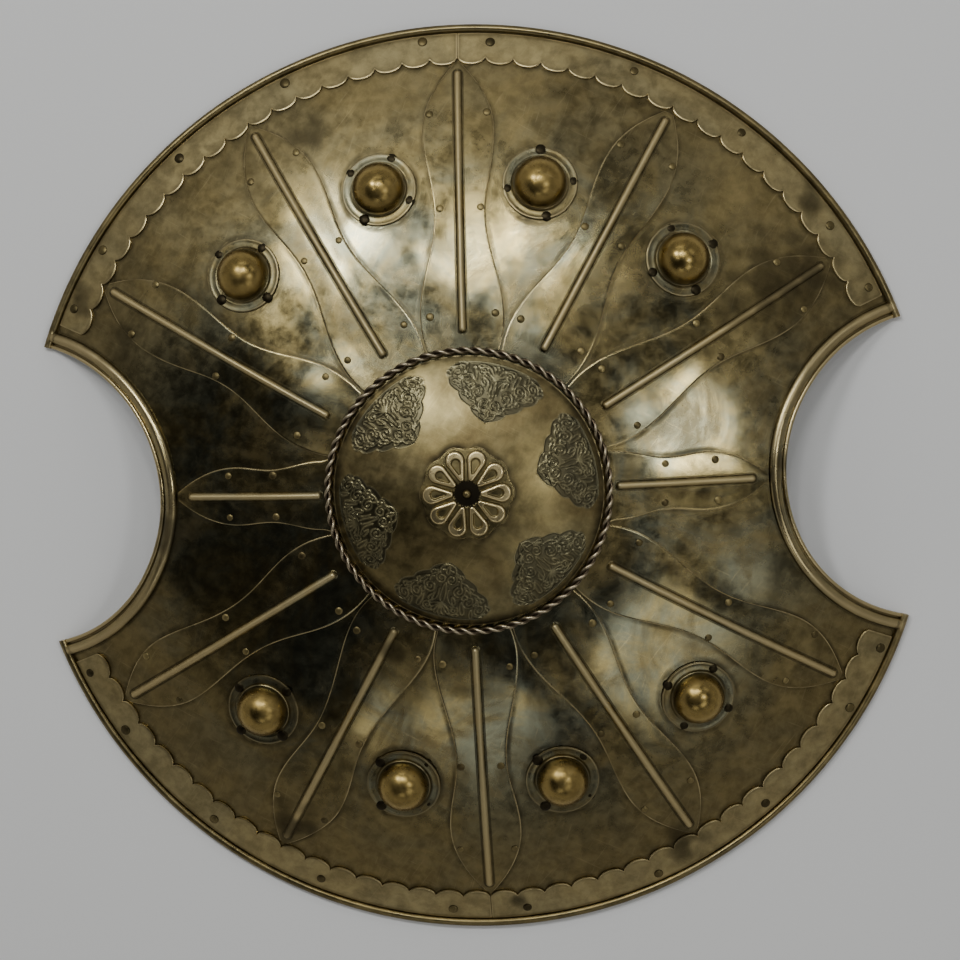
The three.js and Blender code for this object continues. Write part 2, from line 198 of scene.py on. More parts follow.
class Dome:
    """The dish's front surface, a part of a sphere with the slow hollows of hand beating"""

    WAVES = 10
    LONGEST = 0.20
    SHORTEST = 0.045
    SEED = 11
    CALM_CENTRE = (0.110, 0.150)
    CALM_RIM = (0.322, 0.343)

    def __init__(self):
        dish = settings().shield_dish
        self.radius = dish.radius
        self.sphere = (dish.radius**2 + dish.depth**2) / (2 * dish.depth)
        self.centre = dish.depth - self.sphere
        self.beating = dish.beating
        rng = np.random.default_rng(self.SEED)
        lengths = np.geomspace(self.LONGEST, self.SHORTEST, self.WAVES)
        turns = rng.uniform(0, 2 * np.pi, self.WAVES)
        self.waves = np.stack([np.cos(turns), np.sin(turns)]) * 2 * np.pi / lengths
        self.phases = rng.uniform(0, 2 * np.pi, self.WAVES)
        self.heights = self.beating * lengths / (2 * np.pi)

    def hollows(self, x, y):
        waves = np.multiply.outer(x, self.waves[0]) + np.multiply.outer(y, self.waves[1])
        reach = np.hypot(x, y)
        calm = np.interp(reach, [*self.CALM_CENTRE, *self.CALM_RIM], [0, 1, 1, 0])
        return calm * (self.heights * np.sin(waves + self.phases)).sum(-1)

    def height(self, reach):
        return math.sqrt(self.sphere**2 - reach**2) + self.centre

    def over(self, x, y, lift, beaten=True):
        """Points over plan places x, y, lifted square off the surface"""
        x, y = np.broadcast_arrays(np.asarray(x, float), np.asarray(y, float))
        up = np.sqrt(self.sphere**2 - x**2 - y**2)
        normal = np.stack([x, y, up], -1) / self.sphere
        points = np.stack([x, y, up + self.centre], -1)
        rise = np.asarray(lift) + (self.hollows(x, y) if beaten else 0.0)
        return points + normal * np.broadcast_to(rise, x.shape)[..., None]

    def frame_at(self, x, y, lift):
        """A matrix with its Z square to the surface at x, y"""
        place = Vector(self.over(x, y, lift).tolist())
        normal = Vector((x, y, place.z - self.centre)).normalized()
        return Matrix.Translation(place) @ normal.to_track_quat("Z", "Y").to_matrix().to_4x4()


def hour_angle(hour):
    return math.radians(90 - 30 * hour)


def notch_centre():
    dish = settings().shield_dish
    return dish.radius - dish.notch_depth + dish.notch_radius


def corner_angle():
    dish = settings().shield_dish
    far = notch_centre()
    return math.acos((dish.radius**2 + far**2 - dish.notch_radius**2) / (2 * dish.radius * far))


def cusp_radius():
    dish, plate = settings().shield_dish, settings().shield_plates
    return dish.radius - dish.lip_width - plate.band_width


def band_start():
    dish, plate = settings().shield_dish, settings().shield_plates
    return corner_angle() + plate.band_end / dish.radius


def band_edge(angle):
    """Radius of the scalloped edge at an angle from +X, in the first quarter"""
    plate = settings().shield_plates
    pitch = (math.pi / 2 - band_start()) / plate.scallops
    turn = (np.asarray(angle) - band_start()) / pitch % 1.0
    return cusp_radius() - plate.scallop_depth * np.sqrt(1 - (2 * turn - 1) ** 2)


class Leaf:
    """Outline of a leaf along its own axis"""

    LONG = dict(
        tip_half=3.4, tip=51.5, shoulder_half=27, blade=60, waist_half=19.5, hip=25, hip_gap=3.3,
        ridge_from_root=13, ridge_from_tip=4.5,
    )
    SHORT = dict(
        tip_half=2.5, tip=46, shoulder_half=22.5, blade=28, waist_half=20, hip=7, hip_gap=4.5,
        ridge_from_root=5, ridge_from_tip=9,
    )
    LONG_TIP_GAP = 0.5 * MM
    SHORT_TIP_GAP = 1.0 * MM

    def __init__(self, hour):
        dish, plate = settings().shield_dish, settings().shield_plates
        beside_notch = hour in SIDE_HOURS
        form = {key: value * MM for key, value in (self.SHORT if beside_notch else self.LONG).items()}
        edging = dish.fold_width + dish.fold_gap + dish.bead_width
        if beside_notch:
            self.tip = dish.radius - dish.notch_depth - edging - self.SHORT_TIP_GAP
        else:
            self.tip = cusp_radius() - plate.scallop_depth - self.LONG_TIP_GAP
        self.form = form
        self.root = plate.root_radius
        self.shoulder = self.tip - form["tip"]
        self.waist = self.shoulder - form["blade"]
        self.hip = self.root + form["hip"]
        self.ridge_ends = (self.root + form["ridge_from_root"], self.tip - form["ridge_from_tip"])
        self.angle = hour_angle(hour)
        half_pitch = math.tan(math.pi / LEAF_COUNT)
        self.hip_half = self.hip * half_pitch - form["hip_gap"]
        self.root_half = self.root * half_pitch - plate.root_gap

    def half_width(self, reach):
        reach = np.asarray(reach, float)
        form = self.form

        def ease(start, end, share):
            return start + (end - start) * (1 - np.cos(np.pi * np.clip(share, 0, 1))) / 2

        root = self.hip_half + (self.root_half - self.hip_half) * ((self.hip - reach) / form["hip"]) ** 2
        neck = ease(self.hip_half, form["waist_half"], (reach - self.hip) / (self.waist - self.hip))
        blade = ease(form["waist_half"], form["shoulder_half"], (reach - self.waist) / form["blade"])
        share = (reach - self.shoulder) / form["tip"]
        tip = form["shoulder_half"] + (form["tip_half"] - form["shoulder_half"]) * share**2
        parts = [reach < self.hip, reach < self.waist, reach < self.shoulder]
        return np.select(parts, [root, neck, blade], tip)

    def turned(self, along, across):
        c, s = math.cos(self.angle), math.sin(self.angle)
        return along * c - across * s, along * s + across * c

    def unturned(self, x, y):
        c, s = math.cos(self.angle), math.sin(self.angle)
        return x * c + y * s, y * c - x * s

    def distance(self, x, y):
        """Distance from plan places to the leaf's outline, less than nothing inside"""
        along, across = self.unturned(x, y)
        inside_ends = (along > self.root) & (along < self.tip)
        beside = np.abs(across) - self.half_width(along)
        past_tip = np.where(along > 0, np.hypot(along - self.tip, across) - self.form["tip_half"], FAR_AWAY)
        return np.where(inside_ends, beside, np.where(along >= self.tip, past_tip, FAR_AWAY))


# Mesh making

def mesh_object(name, points, faces, attributes=None):
    mesh = bpy.data.meshes.new(name)
    mesh.from_pydata(np.asarray(points).tolist(), [], faces)
    for key, values in (attributes or {}).items():
        layer = mesh.attributes.new(key, "FLOAT", "POINT")
        layer.data.foreach_set("value", np.asarray(values, np.float32))
    piece = bpy.data.objects.new(name, mesh)
    bpy.context.scene.collection.objects.link(piece)
    return piece


def strip_faces(rings, sides):
    """Four-sided faces between rings of points, each ring closed on itself"""
    ring = np.arange(rings - 1)[:, None]
    side = np.arange(sides)[None, :]
    after, beside = ring + 1, (side + 1) % sides
    quads = np.stack(
        [ring * sides + side, ring * sides + beside, after * sides + beside, after * sides + side], -1
    )
    return quads.reshape(-1, 4).tolist()


def loft(name, rings, attributes=None):
    """A closed solid through rings of points, with a fan of faces over each end"""
    count, sides = rings.shape[:2]
    faces = strip_faces(count, sides)
    first, last = count * sides, count * sides + 1
    start = (count - 1) * sides
    for side in range(sides):
        beside = (side + 1) % sides
        faces.append([first, beside, side])
        faces.append([last, start + side, start + beside])
    points = np.concatenate([rings.reshape(-1, 3), rings[0].mean(0)[None], rings[-1].mean(0)[None]])
    filled = {
        key: np.concatenate([values.reshape(-1), [values[0].mean(), values[-1].mean()]])
        for key, values in (attributes or {}).items()
    }
    return mesh_object(name, points, faces, filled)


def turned_piece(name, profile, segments, attributes=None):
    """Turns a profile that starts and ends on the axis about Z"""
    inner = np.array(profile[1:-1], float)
    angles = np.linspace(0, 2 * np.pi, segments, endpoint=False)
    rings = np.stack(
        [
            np.outer(np.cos(angles), inner[:, 0]),
            np.outer(np.sin(angles), inner[:, 0]),
            np.broadcast_to(inner[:, 1], (segments, len(inner))),
        ],
        -1,
    )
    sides = len(inner)
    spin = np.arange(segments)[:, None]
    step = np.arange(sides - 1)[None, :]
    after = (spin + 1) % segments
    quads = np.stack(
        [spin * sides + step, after * sides + step, after * sides + step + 1, spin * sides + step + 1], -1
    )
    faces = quads.reshape(-1, 4).tolist()
    bottom, top = segments * sides, segments * sides + 1
    for spin in range(segments):
        after = (spin + 1) % segments
        faces.append([bottom, after * sides, spin * sides])
        faces.append([top, spin * sides + sides - 1, after * sides + sides - 1])
    points = np.concatenate([rings.reshape(-1, 3), [[0, 0, profile[0][1]]], [[0, 0, profile[-1][1]]]])
    filled = {}
    for key, values in (attributes or {}).items():
        values = np.asarray(values, float)
        filled[key] = np.concatenate([np.tile(values[1:-1], segments), [values[0], values[-1]]])
    return mesh_object(name, points, faces, filled)


def evaluated_mesh(piece):
    depsgraph = bpy.context.evaluated_depsgraph_get()
    return bpy.data.meshes.new_from_object(
        piece.evaluated_get(depsgraph), preserve_all_data_layers=True, depsgraph=depsgraph
    )


def bake_modifiers(piece):
    """Turns a piece with modifiers into a plain mesh"""
    mesh = evaluated_mesh(piece)
    piece.modifiers.clear()
    piece.data = mesh


def joined_solid(piece, other, operation):
    """Joins or cuts a piece by another, and takes the other away"""
    cut = piece.modifiers.new("Cut", "BOOLEAN")
    cut.object = other
    cut.operation = operation
    cut.solver = "MANIFOLD"
    bake_modifiers(piece)
    bpy.data.objects.remove(other)


def vertex_places(piece):
    places = np.empty(len(piece.data.vertices) * 3, np.float32)
    piece.data.vertices.foreach_get("co", places)
    return places.reshape(-1, 3)


def set_attribute(piece, key, values):
    layer = piece.data.attributes.get(key) or piece.data.attributes.new(key, "FLOAT", "POINT")
    layer.data.foreach_set("value", np.asarray(values, np.float32))


def finish_piece(piece, material, replaced=(), sharp_angle=38):
    """Smooths, paints and hangs a piece on the shield"""
    mesh = piece.data
    mesh.shade_smooth()
    mesh.set_sharp_from_angle(angle=math.radians(sharp_angle))
    mesh.materials.clear()
    mesh.materials.append(material)
    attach(piece, "root")
    if replaced:
        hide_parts(*replaced)
    return piece


def cap_section(sphere, centre, edge, steps):
    """Radius and height along a spherical cap's section, from the axis out"""
    angles = math.asin(edge / sphere) * np.linspace(0, 1, steps + 1)
    return [(sphere * math.sin(a), centre + sphere * math.cos(a)) for a in angles]


# Dish

DISH_SEGMENTS = 600
DISH_RINGS = 92
INSIDE_RINGS = 20
LIP_STEPS = 9
# The lip's roll, from low on its outer side over its top, in half turns
LIP_ROLL = (-0.15, 0.93)
LIP_FOOT_SHARE = 0.16
NOTCH_STEPS = 150
FOLD_STEPS = 9
BEAD_STEPS = 15
BEAD_SQUARENESS = 0.8
EDGING_SINK = 0.6


def dish_profile(dome):
    dish = settings().shield_dish
    lip_inner = dish.radius - dish.lip_width
    land_inner = dish.radius - (dish.lip_width + dish.lip_land) / 2
    inside = cap_section(dome.sphere - dish.sheet, dome.centre, lip_inner - dish.sheet / 2, INSIDE_RINGS)
    outside = cap_section(dome.sphere, dome.centre, lip_inner, DISH_RINGS)
    low = dish.lip_height * LIP_FOOT_SHARE
    middle = (dish.lip_height + low) / 2
    roll = [
        (
            dish.radius - dish.lip_width / 2 * (1 - math.cos(angle)),
            middle + (dish.lip_height - low) / 2 * math.sin(angle),
        )
        for angle in np.linspace(LIP_ROLL[0] * np.pi, LIP_ROLL[1] * np.pi, LIP_STEPS)
    ]
    return [*inside, (land_inner, 0.0), (land_inner + dish.lip_land, 0.0), *roll, *outside[::-1]]


def upright_cylinder(name, radius, x, segments):
    height = settings().shield_dish.depth * 2
    piece = turned_piece(name, [(0, -height), (radius, -height), (radius, height), (0, height)], segments)
    piece.data.transform(Matrix.Translation((x, 0, 0)))
    return piece


def notch_strip(name, dome, side, section):
    """Sweeps a section of distance from the notch's edge and lift along the notch"""
    dish = settings().shield_dish
    far = notch_centre()
    half_arc = math.acos((far**2 + dish.notch_radius**2 - dish.radius**2) / (2 * far * dish.notch_radius))
    angles = math.pi + half_arc * np.linspace(-1, 1, NOTCH_STEPS)
    reach = dish.notch_radius + np.array([distance for distance, _ in section])
    x = side * (far + np.outer(np.cos(angles), reach))
    y = side * np.outer(np.sin(angles), reach)
    lifts = np.array([lift for _, lift in section])
    return loft(name, dome.over(x, y, np.broadcast_to(lifts, x.shape)))


def fold_section():
    dish = settings().shield_dish
    under, width, height = -dish.sheet * EDGING_SINK, dish.fold_width, dish.fold_height
    bend = [
        (width / 2 * (1 - math.cos(a)), height * (0.45 + 0.55 * math.sin(a)))
        for a in np.linspace(0, np.pi, FOLD_STEPS)
    ]
    return [(0, under), *bend, (width, under)]


def bead_section():
    dish = settings().shield_dish
    start, under = dish.fold_width + dish.fold_gap, -dish.sheet * EDGING_SINK
    half = dish.bead_width / 2
    bend = [
        (
            start + half * (1 - math.cos(a)),
            dish.bead_height * math.sin(a) ** BEAD_SQUARENESS if 0 < a < np.pi else 0.0,
        )
        for a in np.linspace(0, np.pi, BEAD_STEPS)
    ]
    return [(start, under), *bend, (start + dish.bead_width, under)]


def near_plates(x, y):
    """Distance from plan places to the nearest plate, stud or rope that lies on the dish"""
    stud, plate, boss = settings().shield_studs, settings().shield_plates, settings().shield_boss
    nearest = np.full(x.shape, FAR_AWAY)
    for hour in range(1, LEAF_COUNT + 1):
        nearest = np.minimum(nearest, np.abs(Leaf(hour).distance(x, y)))
    for hour in STUD_HOURS:
        circle = cusp_radius() - stud.from_band
        from_stud = np.hypot(x - circle * math.cos(hour_angle(hour)), y - circle * math.sin(hour_angle(hour)))
        nearest = np.minimum(nearest, np.abs(from_stud - stud.flange))
    reach, angle = np.hypot(x, y), np.arctan2(np.abs(y), np.abs(x))
    from_band = np.where(angle > band_start(), np.abs(band_edge(angle) - reach), FAR_AWAY)
    from_rope = np.abs(reach - plate.root_radius - 2 * boss.rope_wire)
    return np.minimum(np.minimum(nearest, from_band), from_rope)


# Dark stains on the dish and plates: x, y and size in metres
STAINS = (
    (0.232, 0.146, 0.040), (0.262, 0.150, 0.028), (0.203, 0.128, 0.018), (-0.262, 0.120, 0.016),
    (-0.228, -0.028, 0.020), (0.224, 0.004, 0.010), (-0.062, -0.120, 0.016), (-0.085, -0.098, 0.012),
    (-0.150, -0.260, 0.022), (0.236, 0.010, 0.012), (0.300, -0.080, 0.014), (-0.118, 0.270, 0.018),
    (0.150, -0.285, 0.020), (0.265, 0.205, 0.016), (-0.300, 0.150, 0.014), (0.020, -0.327, 0.008),
)


def stained(x, y):
    """How dark the stains are at plan places, from nothing to one"""
    dark = np.zeros(x.shape)
    for at_x, at_y, size in STAINS:
        wander = 0.3 * np.sin(x * 260 + at_y * 900) + 0.3 * np.sin(y * 310 + x * 90 + at_x * 700)
        near = np.clip(1.15 - np.hypot(x - at_x, y - at_y) / (size * (1 + wander)), 0, 1)
        dark = np.maximum(dark, 0.8 * near * near * (3 - 2 * near))
    return dark


def beat(piece, dome):
    """Moves a sheet's points by the hollows"""
    places = vertex_places(piece).astype(float)
    places[:, 2] += dome.hollows(places[:, 0], places[:, 1])
    piece.data.vertices.foreach_set("co", places.astype(np.float32).reshape(-1))
    piece.data.update()


# How fast the dirt and painted shade thin out from the notch's grooves and the lip's foot, against those
# beside a plate
FOLD_CREASE = 6
BEAD_CREASE = 2
LIP_CREASE = 5.0
OUTER_SIDE_GAP = 1.5 * MM
# How pale the lip's top is painted, for wear and as a painted highlight
LIP_RUBBING_AND_HIGHLIGHT = 0.1
BEAD_CROWN_SHARE = 0.42


def dish_layers(places, dome):
    """How worn pale with a painted highlight, how near a fold, foot or plate where dirt and painted shade
    lie, and how stained each point of the dish is
    """
    dish = settings().shield_dish
    x, y = places[:, 0], places[:, 1]
    reach = np.hypot(x, y)
    from_notch = np.hypot(np.abs(x) - notch_centre(), y) - dish.notch_radius
    edging = dish.fold_width + dish.fold_gap + dish.bead_width
    bead_middle = dish.fold_width + dish.fold_gap + dish.bead_width / 2
    on_bead = np.clip(1 - np.abs(from_notch - bead_middle) / (dish.bead_width * BEAD_CROWN_SHARE), 0, 1)
    on_fold = np.clip(1 - np.abs(from_notch - dish.fold_width / 2) / dish.fold_width, 0, 1)
    on_lip = np.clip(1 - np.abs(reach - dish.radius + dish.lip_width / 2) / dish.lip_width, 0, 1)
    # Beads, folds and the lip are painted pale, for wear and as a painted highlight
    rubbed = np.maximum.reduce([on_bead, on_fold, LIP_RUBBING_AND_HIGHLIGHT * on_lip])
    nearest = np.minimum.reduce([
        near_plates(x, y),
        FOLD_CREASE * np.abs(from_notch - dish.fold_width - dish.fold_gap / 2),
        BEAD_CREASE * np.abs(from_notch - edging),
        LIP_CREASE * np.abs(reach - dish.radius + dish.lip_width),
        OUTER_SIDE_GAP + np.abs(dish.radius - reach),
    ])
    from_centre = np.linalg.norm(places - np.array([0.0, 0.0, dome.centre]), axis=1)
    depth = dome.sphere + dome.hollows(x, y) - from_centre
    on_back = (depth > dish.sheet / 2) & (reach < dish.radius - dish.lip_width)
    return {
        "rubbed": np.where(on_back, 0.0, rubbed),
        "edge": np.where(on_back, FAR_AWAY, nearest),
        "stain": np.where(on_back, 0.0, stained(x, y)),
    }


def make_dish():
    dish = settings().shield_dish
    dome = Dome()
    piece = turned_piece("dish_sheet", dish_profile(dome), DISH_SEGMENTS)
    beat(piece, dome)
    lip_middle = dish.radius - dish.lip_width / 2
    for side in (1, -1):
        cutter = upright_cylinder("notch_cutter", dish.notch_radius, side * notch_centre(), 2 * NOTCH_STEPS)
        joined_solid(piece, cutter, "DIFFERENCE")
        for section in (fold_section(), bead_section()):
            strip = notch_strip("notch_edging", dome, side, section)
            joined_solid(strip, upright_cylinder("lip_line", lip_middle, 0.0, DISH_SEGMENTS), "INTERSECT")
            joined_solid(piece, strip, "UNION")
    for key, values in dish_layers(vertex_places(piece), dome).items():
        set_attribute(piece, key, values)
    finish_piece(piece, field_finish(), ["dish"])


# Edging strips

BAND_STEPS_PER_SCALLOP = 22
BAND_ACROSS = 16
BAND_LIP_GAP = 0.5 * MM
# A plate's cut edge is worn round by this share of its thickness, over this width
WORN_SHARE = 0.35
WORN_WIDTH = 0.8 * MM
# How high the edge of a strip and of a leaf curls up, and how far in
BAND_CURL = (0.35 * MM, 3 * MM)
LEAF_CURL = (0.3 * MM, 4 * MM)


def worn_round(sheet, from_edge):
    return sheet * WORN_SHARE * np.clip(1 - from_edge / WORN_WIDTH, 0, 1) ** 2


def make_band(name, quarter):
    dish, plate = settings().shield_dish, settings().shield_plates
    dome = Dome()
    seam = plate.seam / 2 / cusp_radius()
    steps = plate.scallops * BAND_STEPS_PER_SCALLOP + 1
    angles = np.linspace(band_start() + seam, math.pi / 2 - seam, steps)
    lean = (plate.lift + plate.sheet) * dish.radius / dome.sphere
    outer = dish.radius - dish.lip_width - lean - BAND_LIP_GAP
    inner = band_edge(angles)[:, None]
    reach = inner + (outer - inner) * np.linspace(0, 1, BAND_ACROSS)[None, :] ** 1.4
    from_edge = np.minimum(reach - inner, outer - reach)
    curl = BAND_CURL[0] * np.exp(-(reach - inner) / BAND_CURL[1])
    top = plate.lift + plate.sheet - worn_round(plate.sheet, from_edge) + curl
    under_reach = reach[:, ::-1][:, ::3]
    all_reach = np.concatenate([reach, under_reach], 1)
    lifts = np.concatenate([top, np.full(under_reach.shape, plate.lift)], 1)
    x = all_reach * np.cos(angles)[:, None] * quarter[0]
    y = all_reach * np.sin(angles)[:, None] * quarter[1]
    edge = np.minimum(all_reach - inner, outer - all_reach)
    ends = dish.radius * np.minimum(angles - angles[0], angles[-1] - angles)
    rings = dome.over(x, y, lifts)
    layers = {"edge": np.minimum(edge, ends[:, None]), "stain": stained(x, y), "rubbed": np.zeros(edge.shape)}
    if quarter[0] * quarter[1] > 0:
        rings = rings[::-1]
        layers = {key: values[::-1] for key, values in layers.items()}
    piece = loft(name + "_sheet", rings, layers)
    finish_piece(piece, edging_finish(), [name])


# Leaves

LEAF_STATIONS = 130
RIDGE_END_STATIONS = 13
RIDGE_POINTS = 17
LEAF_UNDER_POINTS = 7
LEAF_GROOVE = 1.6 * MM
# The leaf's blade stands a little proud: by how much, and how far from the ridge's root it takes
LEAF_CAMBER = (0.9 * MM, 40 * MM)
# A ridge's crest is painted pale by this much, for wear and as a painted highlight, and painted shade lies
# this far outside its foot
CREST_RUBBING_AND_HIGHLIGHT = 0.85
RIDGE_SHADE = 0.6 * MM


def leaf_places(leaf):
    """Distances along the leaf, closer together at the ridge's ends and the tip"""
    even = np.linspace(leaf.root, leaf.tip, LEAF_STATIONS)
    ridge_end = settings().shield_plates.ridge_end
    extra = [np.linspace(end - ridge_end, end + ridge_end, RIDGE_END_STATIONS) for end in leaf.ridge_ends]
    places = np.unique(np.round(np.concatenate([even, *extra]), 5))
    return places[(places >= leaf.root) & (places <= leaf.tip)]


def leaf_section(half, ridge_half):
    """Places across the leaf, closer together beside the ridge and at the worn edge"""
    flat = np.linspace(0, 1, 14)[:-1] ** 1.5
    left = -half + (half - ridge_half - LEAF_GROOVE) * flat[None, :]
    between = np.array([[-1.0, -0.66, -0.33]]) * LEAF_GROOVE - ridge_half
    middle = np.linspace(-1, 1, RIDGE_POINTS)[None, :] * ridge_half
    return np.concatenate([left, between, middle, -between[:, ::-1], -left[:, ::-1]], 1)


def make_leaf(hour):
    plate = settings().shield_plates
    dome, leaf = Dome(), Leaf(hour)
    stations = leaf_places(leaf)
    rng = np.random.default_rng(hour)
    wobble = sum(
        rng.uniform(0.1, 0.3) * MM * np.sin(stations * rng.uniform(20, 90) + rng.uniform(0, 6))
        for _ in range(4)
    )
    along = stations[:, None]
    half = (leaf.half_width(stations) + wobble)[:, None]
    ridge_half = np.minimum(plate.ridge_width / 2, half * 0.6)
    across = leaf_section(half, ridge_half)
    inner, outer = leaf.ridge_ends
    middle_line = np.clip(along, inner + ridge_half, outer - ridge_half)
    from_middle = np.hypot(along - middle_line, across) / ridge_half
    profile = np.clip(1 - from_middle**2, 0, 1) ** 0.9
    from_edge = half - np.abs(across)
    curl = LEAF_CURL[0] * np.exp(-from_edge / LEAF_CURL[1])
    camber = LEAF_CAMBER[0] * (1 - (across / half) ** 2) * np.clip((along - inner) / LEAF_CAMBER[1], 0, 1)
    ridge = plate.ridge_height * profile
    top = plate.lift + plate.sheet + ridge - worn_round(plate.sheet, from_edge) + curl + camber
    under = half * np.linspace(1, -1, LEAF_UNDER_POINTS)[None, :]
    all_across = np.concatenate([across, under], 1)
    lifts = np.concatenate([top, np.full(under.shape, plate.lift)], 1)
    x, y = leaf.turned(along, all_across)
    rings = dome.over(x, y, lifts)
    edge = np.minimum(half - np.abs(all_across), leaf.tip - along + WORN_WIDTH / 2)
    # A dark line just outside the ridge's foot is painted shade
    from_foot = np.abs((from_middle - 1) * ridge_half - RIDGE_SHADE)
    layers = {
        "edge": np.clip(edge, 0, None),
        "crease": np.concatenate([from_foot, np.full(under.shape, FAR_AWAY)], 1),
        "stain": stained(x, y),
        # The crest is painted pale, for wear and as a painted highlight
        "rubbed": np.concatenate([CREST_RUBBING_AND_HIGHLIGHT * profile**2, np.zeros(under.shape)], 1),
    }
    name = f"leaf_{hour:02d}"
    piece = loft(name + "_sheet", rings[:, ::-1], {key: values[:, ::-1] for key, values in layers.items()})
    finish_piece(piece, leaf_finish(), [name])


# Studs

STUD_SEGMENTS = 96
STUD_LIFT = 0.3 * MM


def stud_profile():
    stud = settings().shield_studs
    inside = stud.dome - stud.sheet
    hollow = [(inside * math.sin(a), inside * math.cos(a)) for a in np.linspace(0, np.pi / 2, 13)]
    rim = stud.flange
    flange = [
        (rim - 0.3 * MM, 0.0), (rim, 0.4 * MM), (rim - 0.25 * MM, 1.0 * MM), (rim - 0.9 * MM, 1.25 * MM),
        (rim - 1.8 * MM, 1.1 * MM), (stud.dome + 4.6 * MM, 1.05 * MM), (stud.dome + 3.0 * MM, 1.25 * MM),
        (stud.dome + 2.0 * MM, 1.35 * MM), (stud.dome + 1.2 * MM, 0.9 * MM),
        (stud.dome + 0.55 * MM, 0.75 * MM),
    ]
    dome = [
        (
            stud.dome * math.sin(a),
            stud.sheet + (stud.dome * math.cos(a) ** 0.92 if a < np.pi / 2 else 0.0),
        )
        for a in np.linspace(np.pi / 2, 0, 25)
    ]
    return [*hollow, *flange, *dome]


def make_stud(index, hour):
    stud = settings().shield_studs
    profile = stud_profile()
    reach, height = np.array(profile).T
    on_dome = height > 2 * stud.sheet
    on_flange_edge = np.abs(reach - stud.flange + 0.8 * MM) < 0.5 * MM
    # The dome's lower part and the flange round its foot get dirt and painted shadow, the flange's outer edge
    # dirt and painted shade, and a pale ring inside that edge for wear and a painted highlight; the gold
    # fades out towards the dome's foot, which is painted shade
    edge = np.where(on_dome, 0.6 * (height - stud.sheet), np.abs(reach - stud.dome - 0.8 * MM))
    layers = {
        "edge": np.minimum(edge, np.where(on_dome, stud.dome, np.abs(reach - stud.flange))),
        "rubbed": np.where(on_flange_edge, 0.5, 0.0),
        "stain": np.zeros(len(profile)),
        "golden": on_dome * np.clip((height - 2 * stud.sheet) / (8 * MM), 0.0, 1.0),
    }
    name = f"stud_boss_{index}"
    piece = turned_piece(name + "_sheet", profile, STUD_SEGMENTS, layers)
    circle = cusp_radius() - stud.from_band
    angle = hour_angle(hour)
    piece.data.transform(Dome().frame_at(circle * math.cos(angle), circle * math.sin(angle), STUD_LIFT))
    finish_piece(piece, stud_finish(), [name])


# Centre boss and its chased panels

class BossDome:
    """The centre boss's outer surface"""

    def __init__(self):
        boss = settings().shield_boss
        rise = BOSS_HIGH.z - BOSS_LOW.z
        self.sphere = (boss.radius**2 + rise**2) / (2 * rise)
        self.centre = BOSS_HIGH.z - self.sphere

    def over(self, x, y, lift):
        up = np.sqrt(self.sphere**2 - x**2 - y**2)
        normal = np.stack([x, y, up], -1) / self.sphere
        return np.stack([x, y, up + self.centre], -1) + normal * np.asarray(lift)[..., None]


PANEL_COUNT = 6
PANEL_FIRST = math.radians(14)
PANEL_INNER = 53.5 * MM
PANEL_OUTER = 98 * MM
PANEL_HALF_WIDTH = 47 * MM
PANEL_LINE_SCALE = 1.1
LINE_HALF_WIDTH = 0.55 * MM
LINE_POINT_PITCH = 0.25
# The share of the chasing's depth that lies under the boss's plain surface
CHASED_BELOW = 0.62


def spiral(at, radius, turns, start, way, steps=70):
    """A scroll that winds in to its centre"""
    share = np.linspace(0, 1, steps)
    angle = start + way * 2 * np.pi * turns * share
    reach = radius * (1 - share) ** 0.85 + 0.5
    return np.stack([at[0] + reach * np.cos(angle), at[1] + reach * np.sin(angle)], 1)


def petal(at, angle, size, width, steps=40):
    """A drop-shaped loop that points along an angle"""
    share = np.linspace(0, 2 * np.pi, steps)
    along = size * (1 - np.cos(share)) / 2
    across = width * np.sin(share) * (0.35 + 0.65 * (1 - np.cos(share)) / 2)
    c, s = math.cos(angle), math.sin(angle)
    return np.stack([at[0] + along * c - across * s, at[1] + along * s + across * c], 1)


def bow(start, end, bend, steps=24):
    """A curved stem between two places"""
    start, end = np.array(start, float), np.array(end, float)
    share = np.linspace(0, 1, steps)[:, None]
    side = np.array([-(end - start)[1], (end - start)[0]])
    return start + (end - start) * share + side * bend * np.sin(np.pi * share)


def panel_half_width(height):
    """Half width of a chased panel at a height over its point, in mm"""
    share = np.clip(height / ((PANEL_OUTER - PANEL_INNER) / MM), 0, 1)
    fan = PANEL_HALF_WIDTH / MM * share**0.8
    lobes = 2.4 * np.abs(np.sin(np.pi * share * 4.0))
    corner = 1 - 0.36 * np.clip((share - 0.7) / 0.3, 0, 1) ** 2
    return (fan + lobes - 1.0) * corner


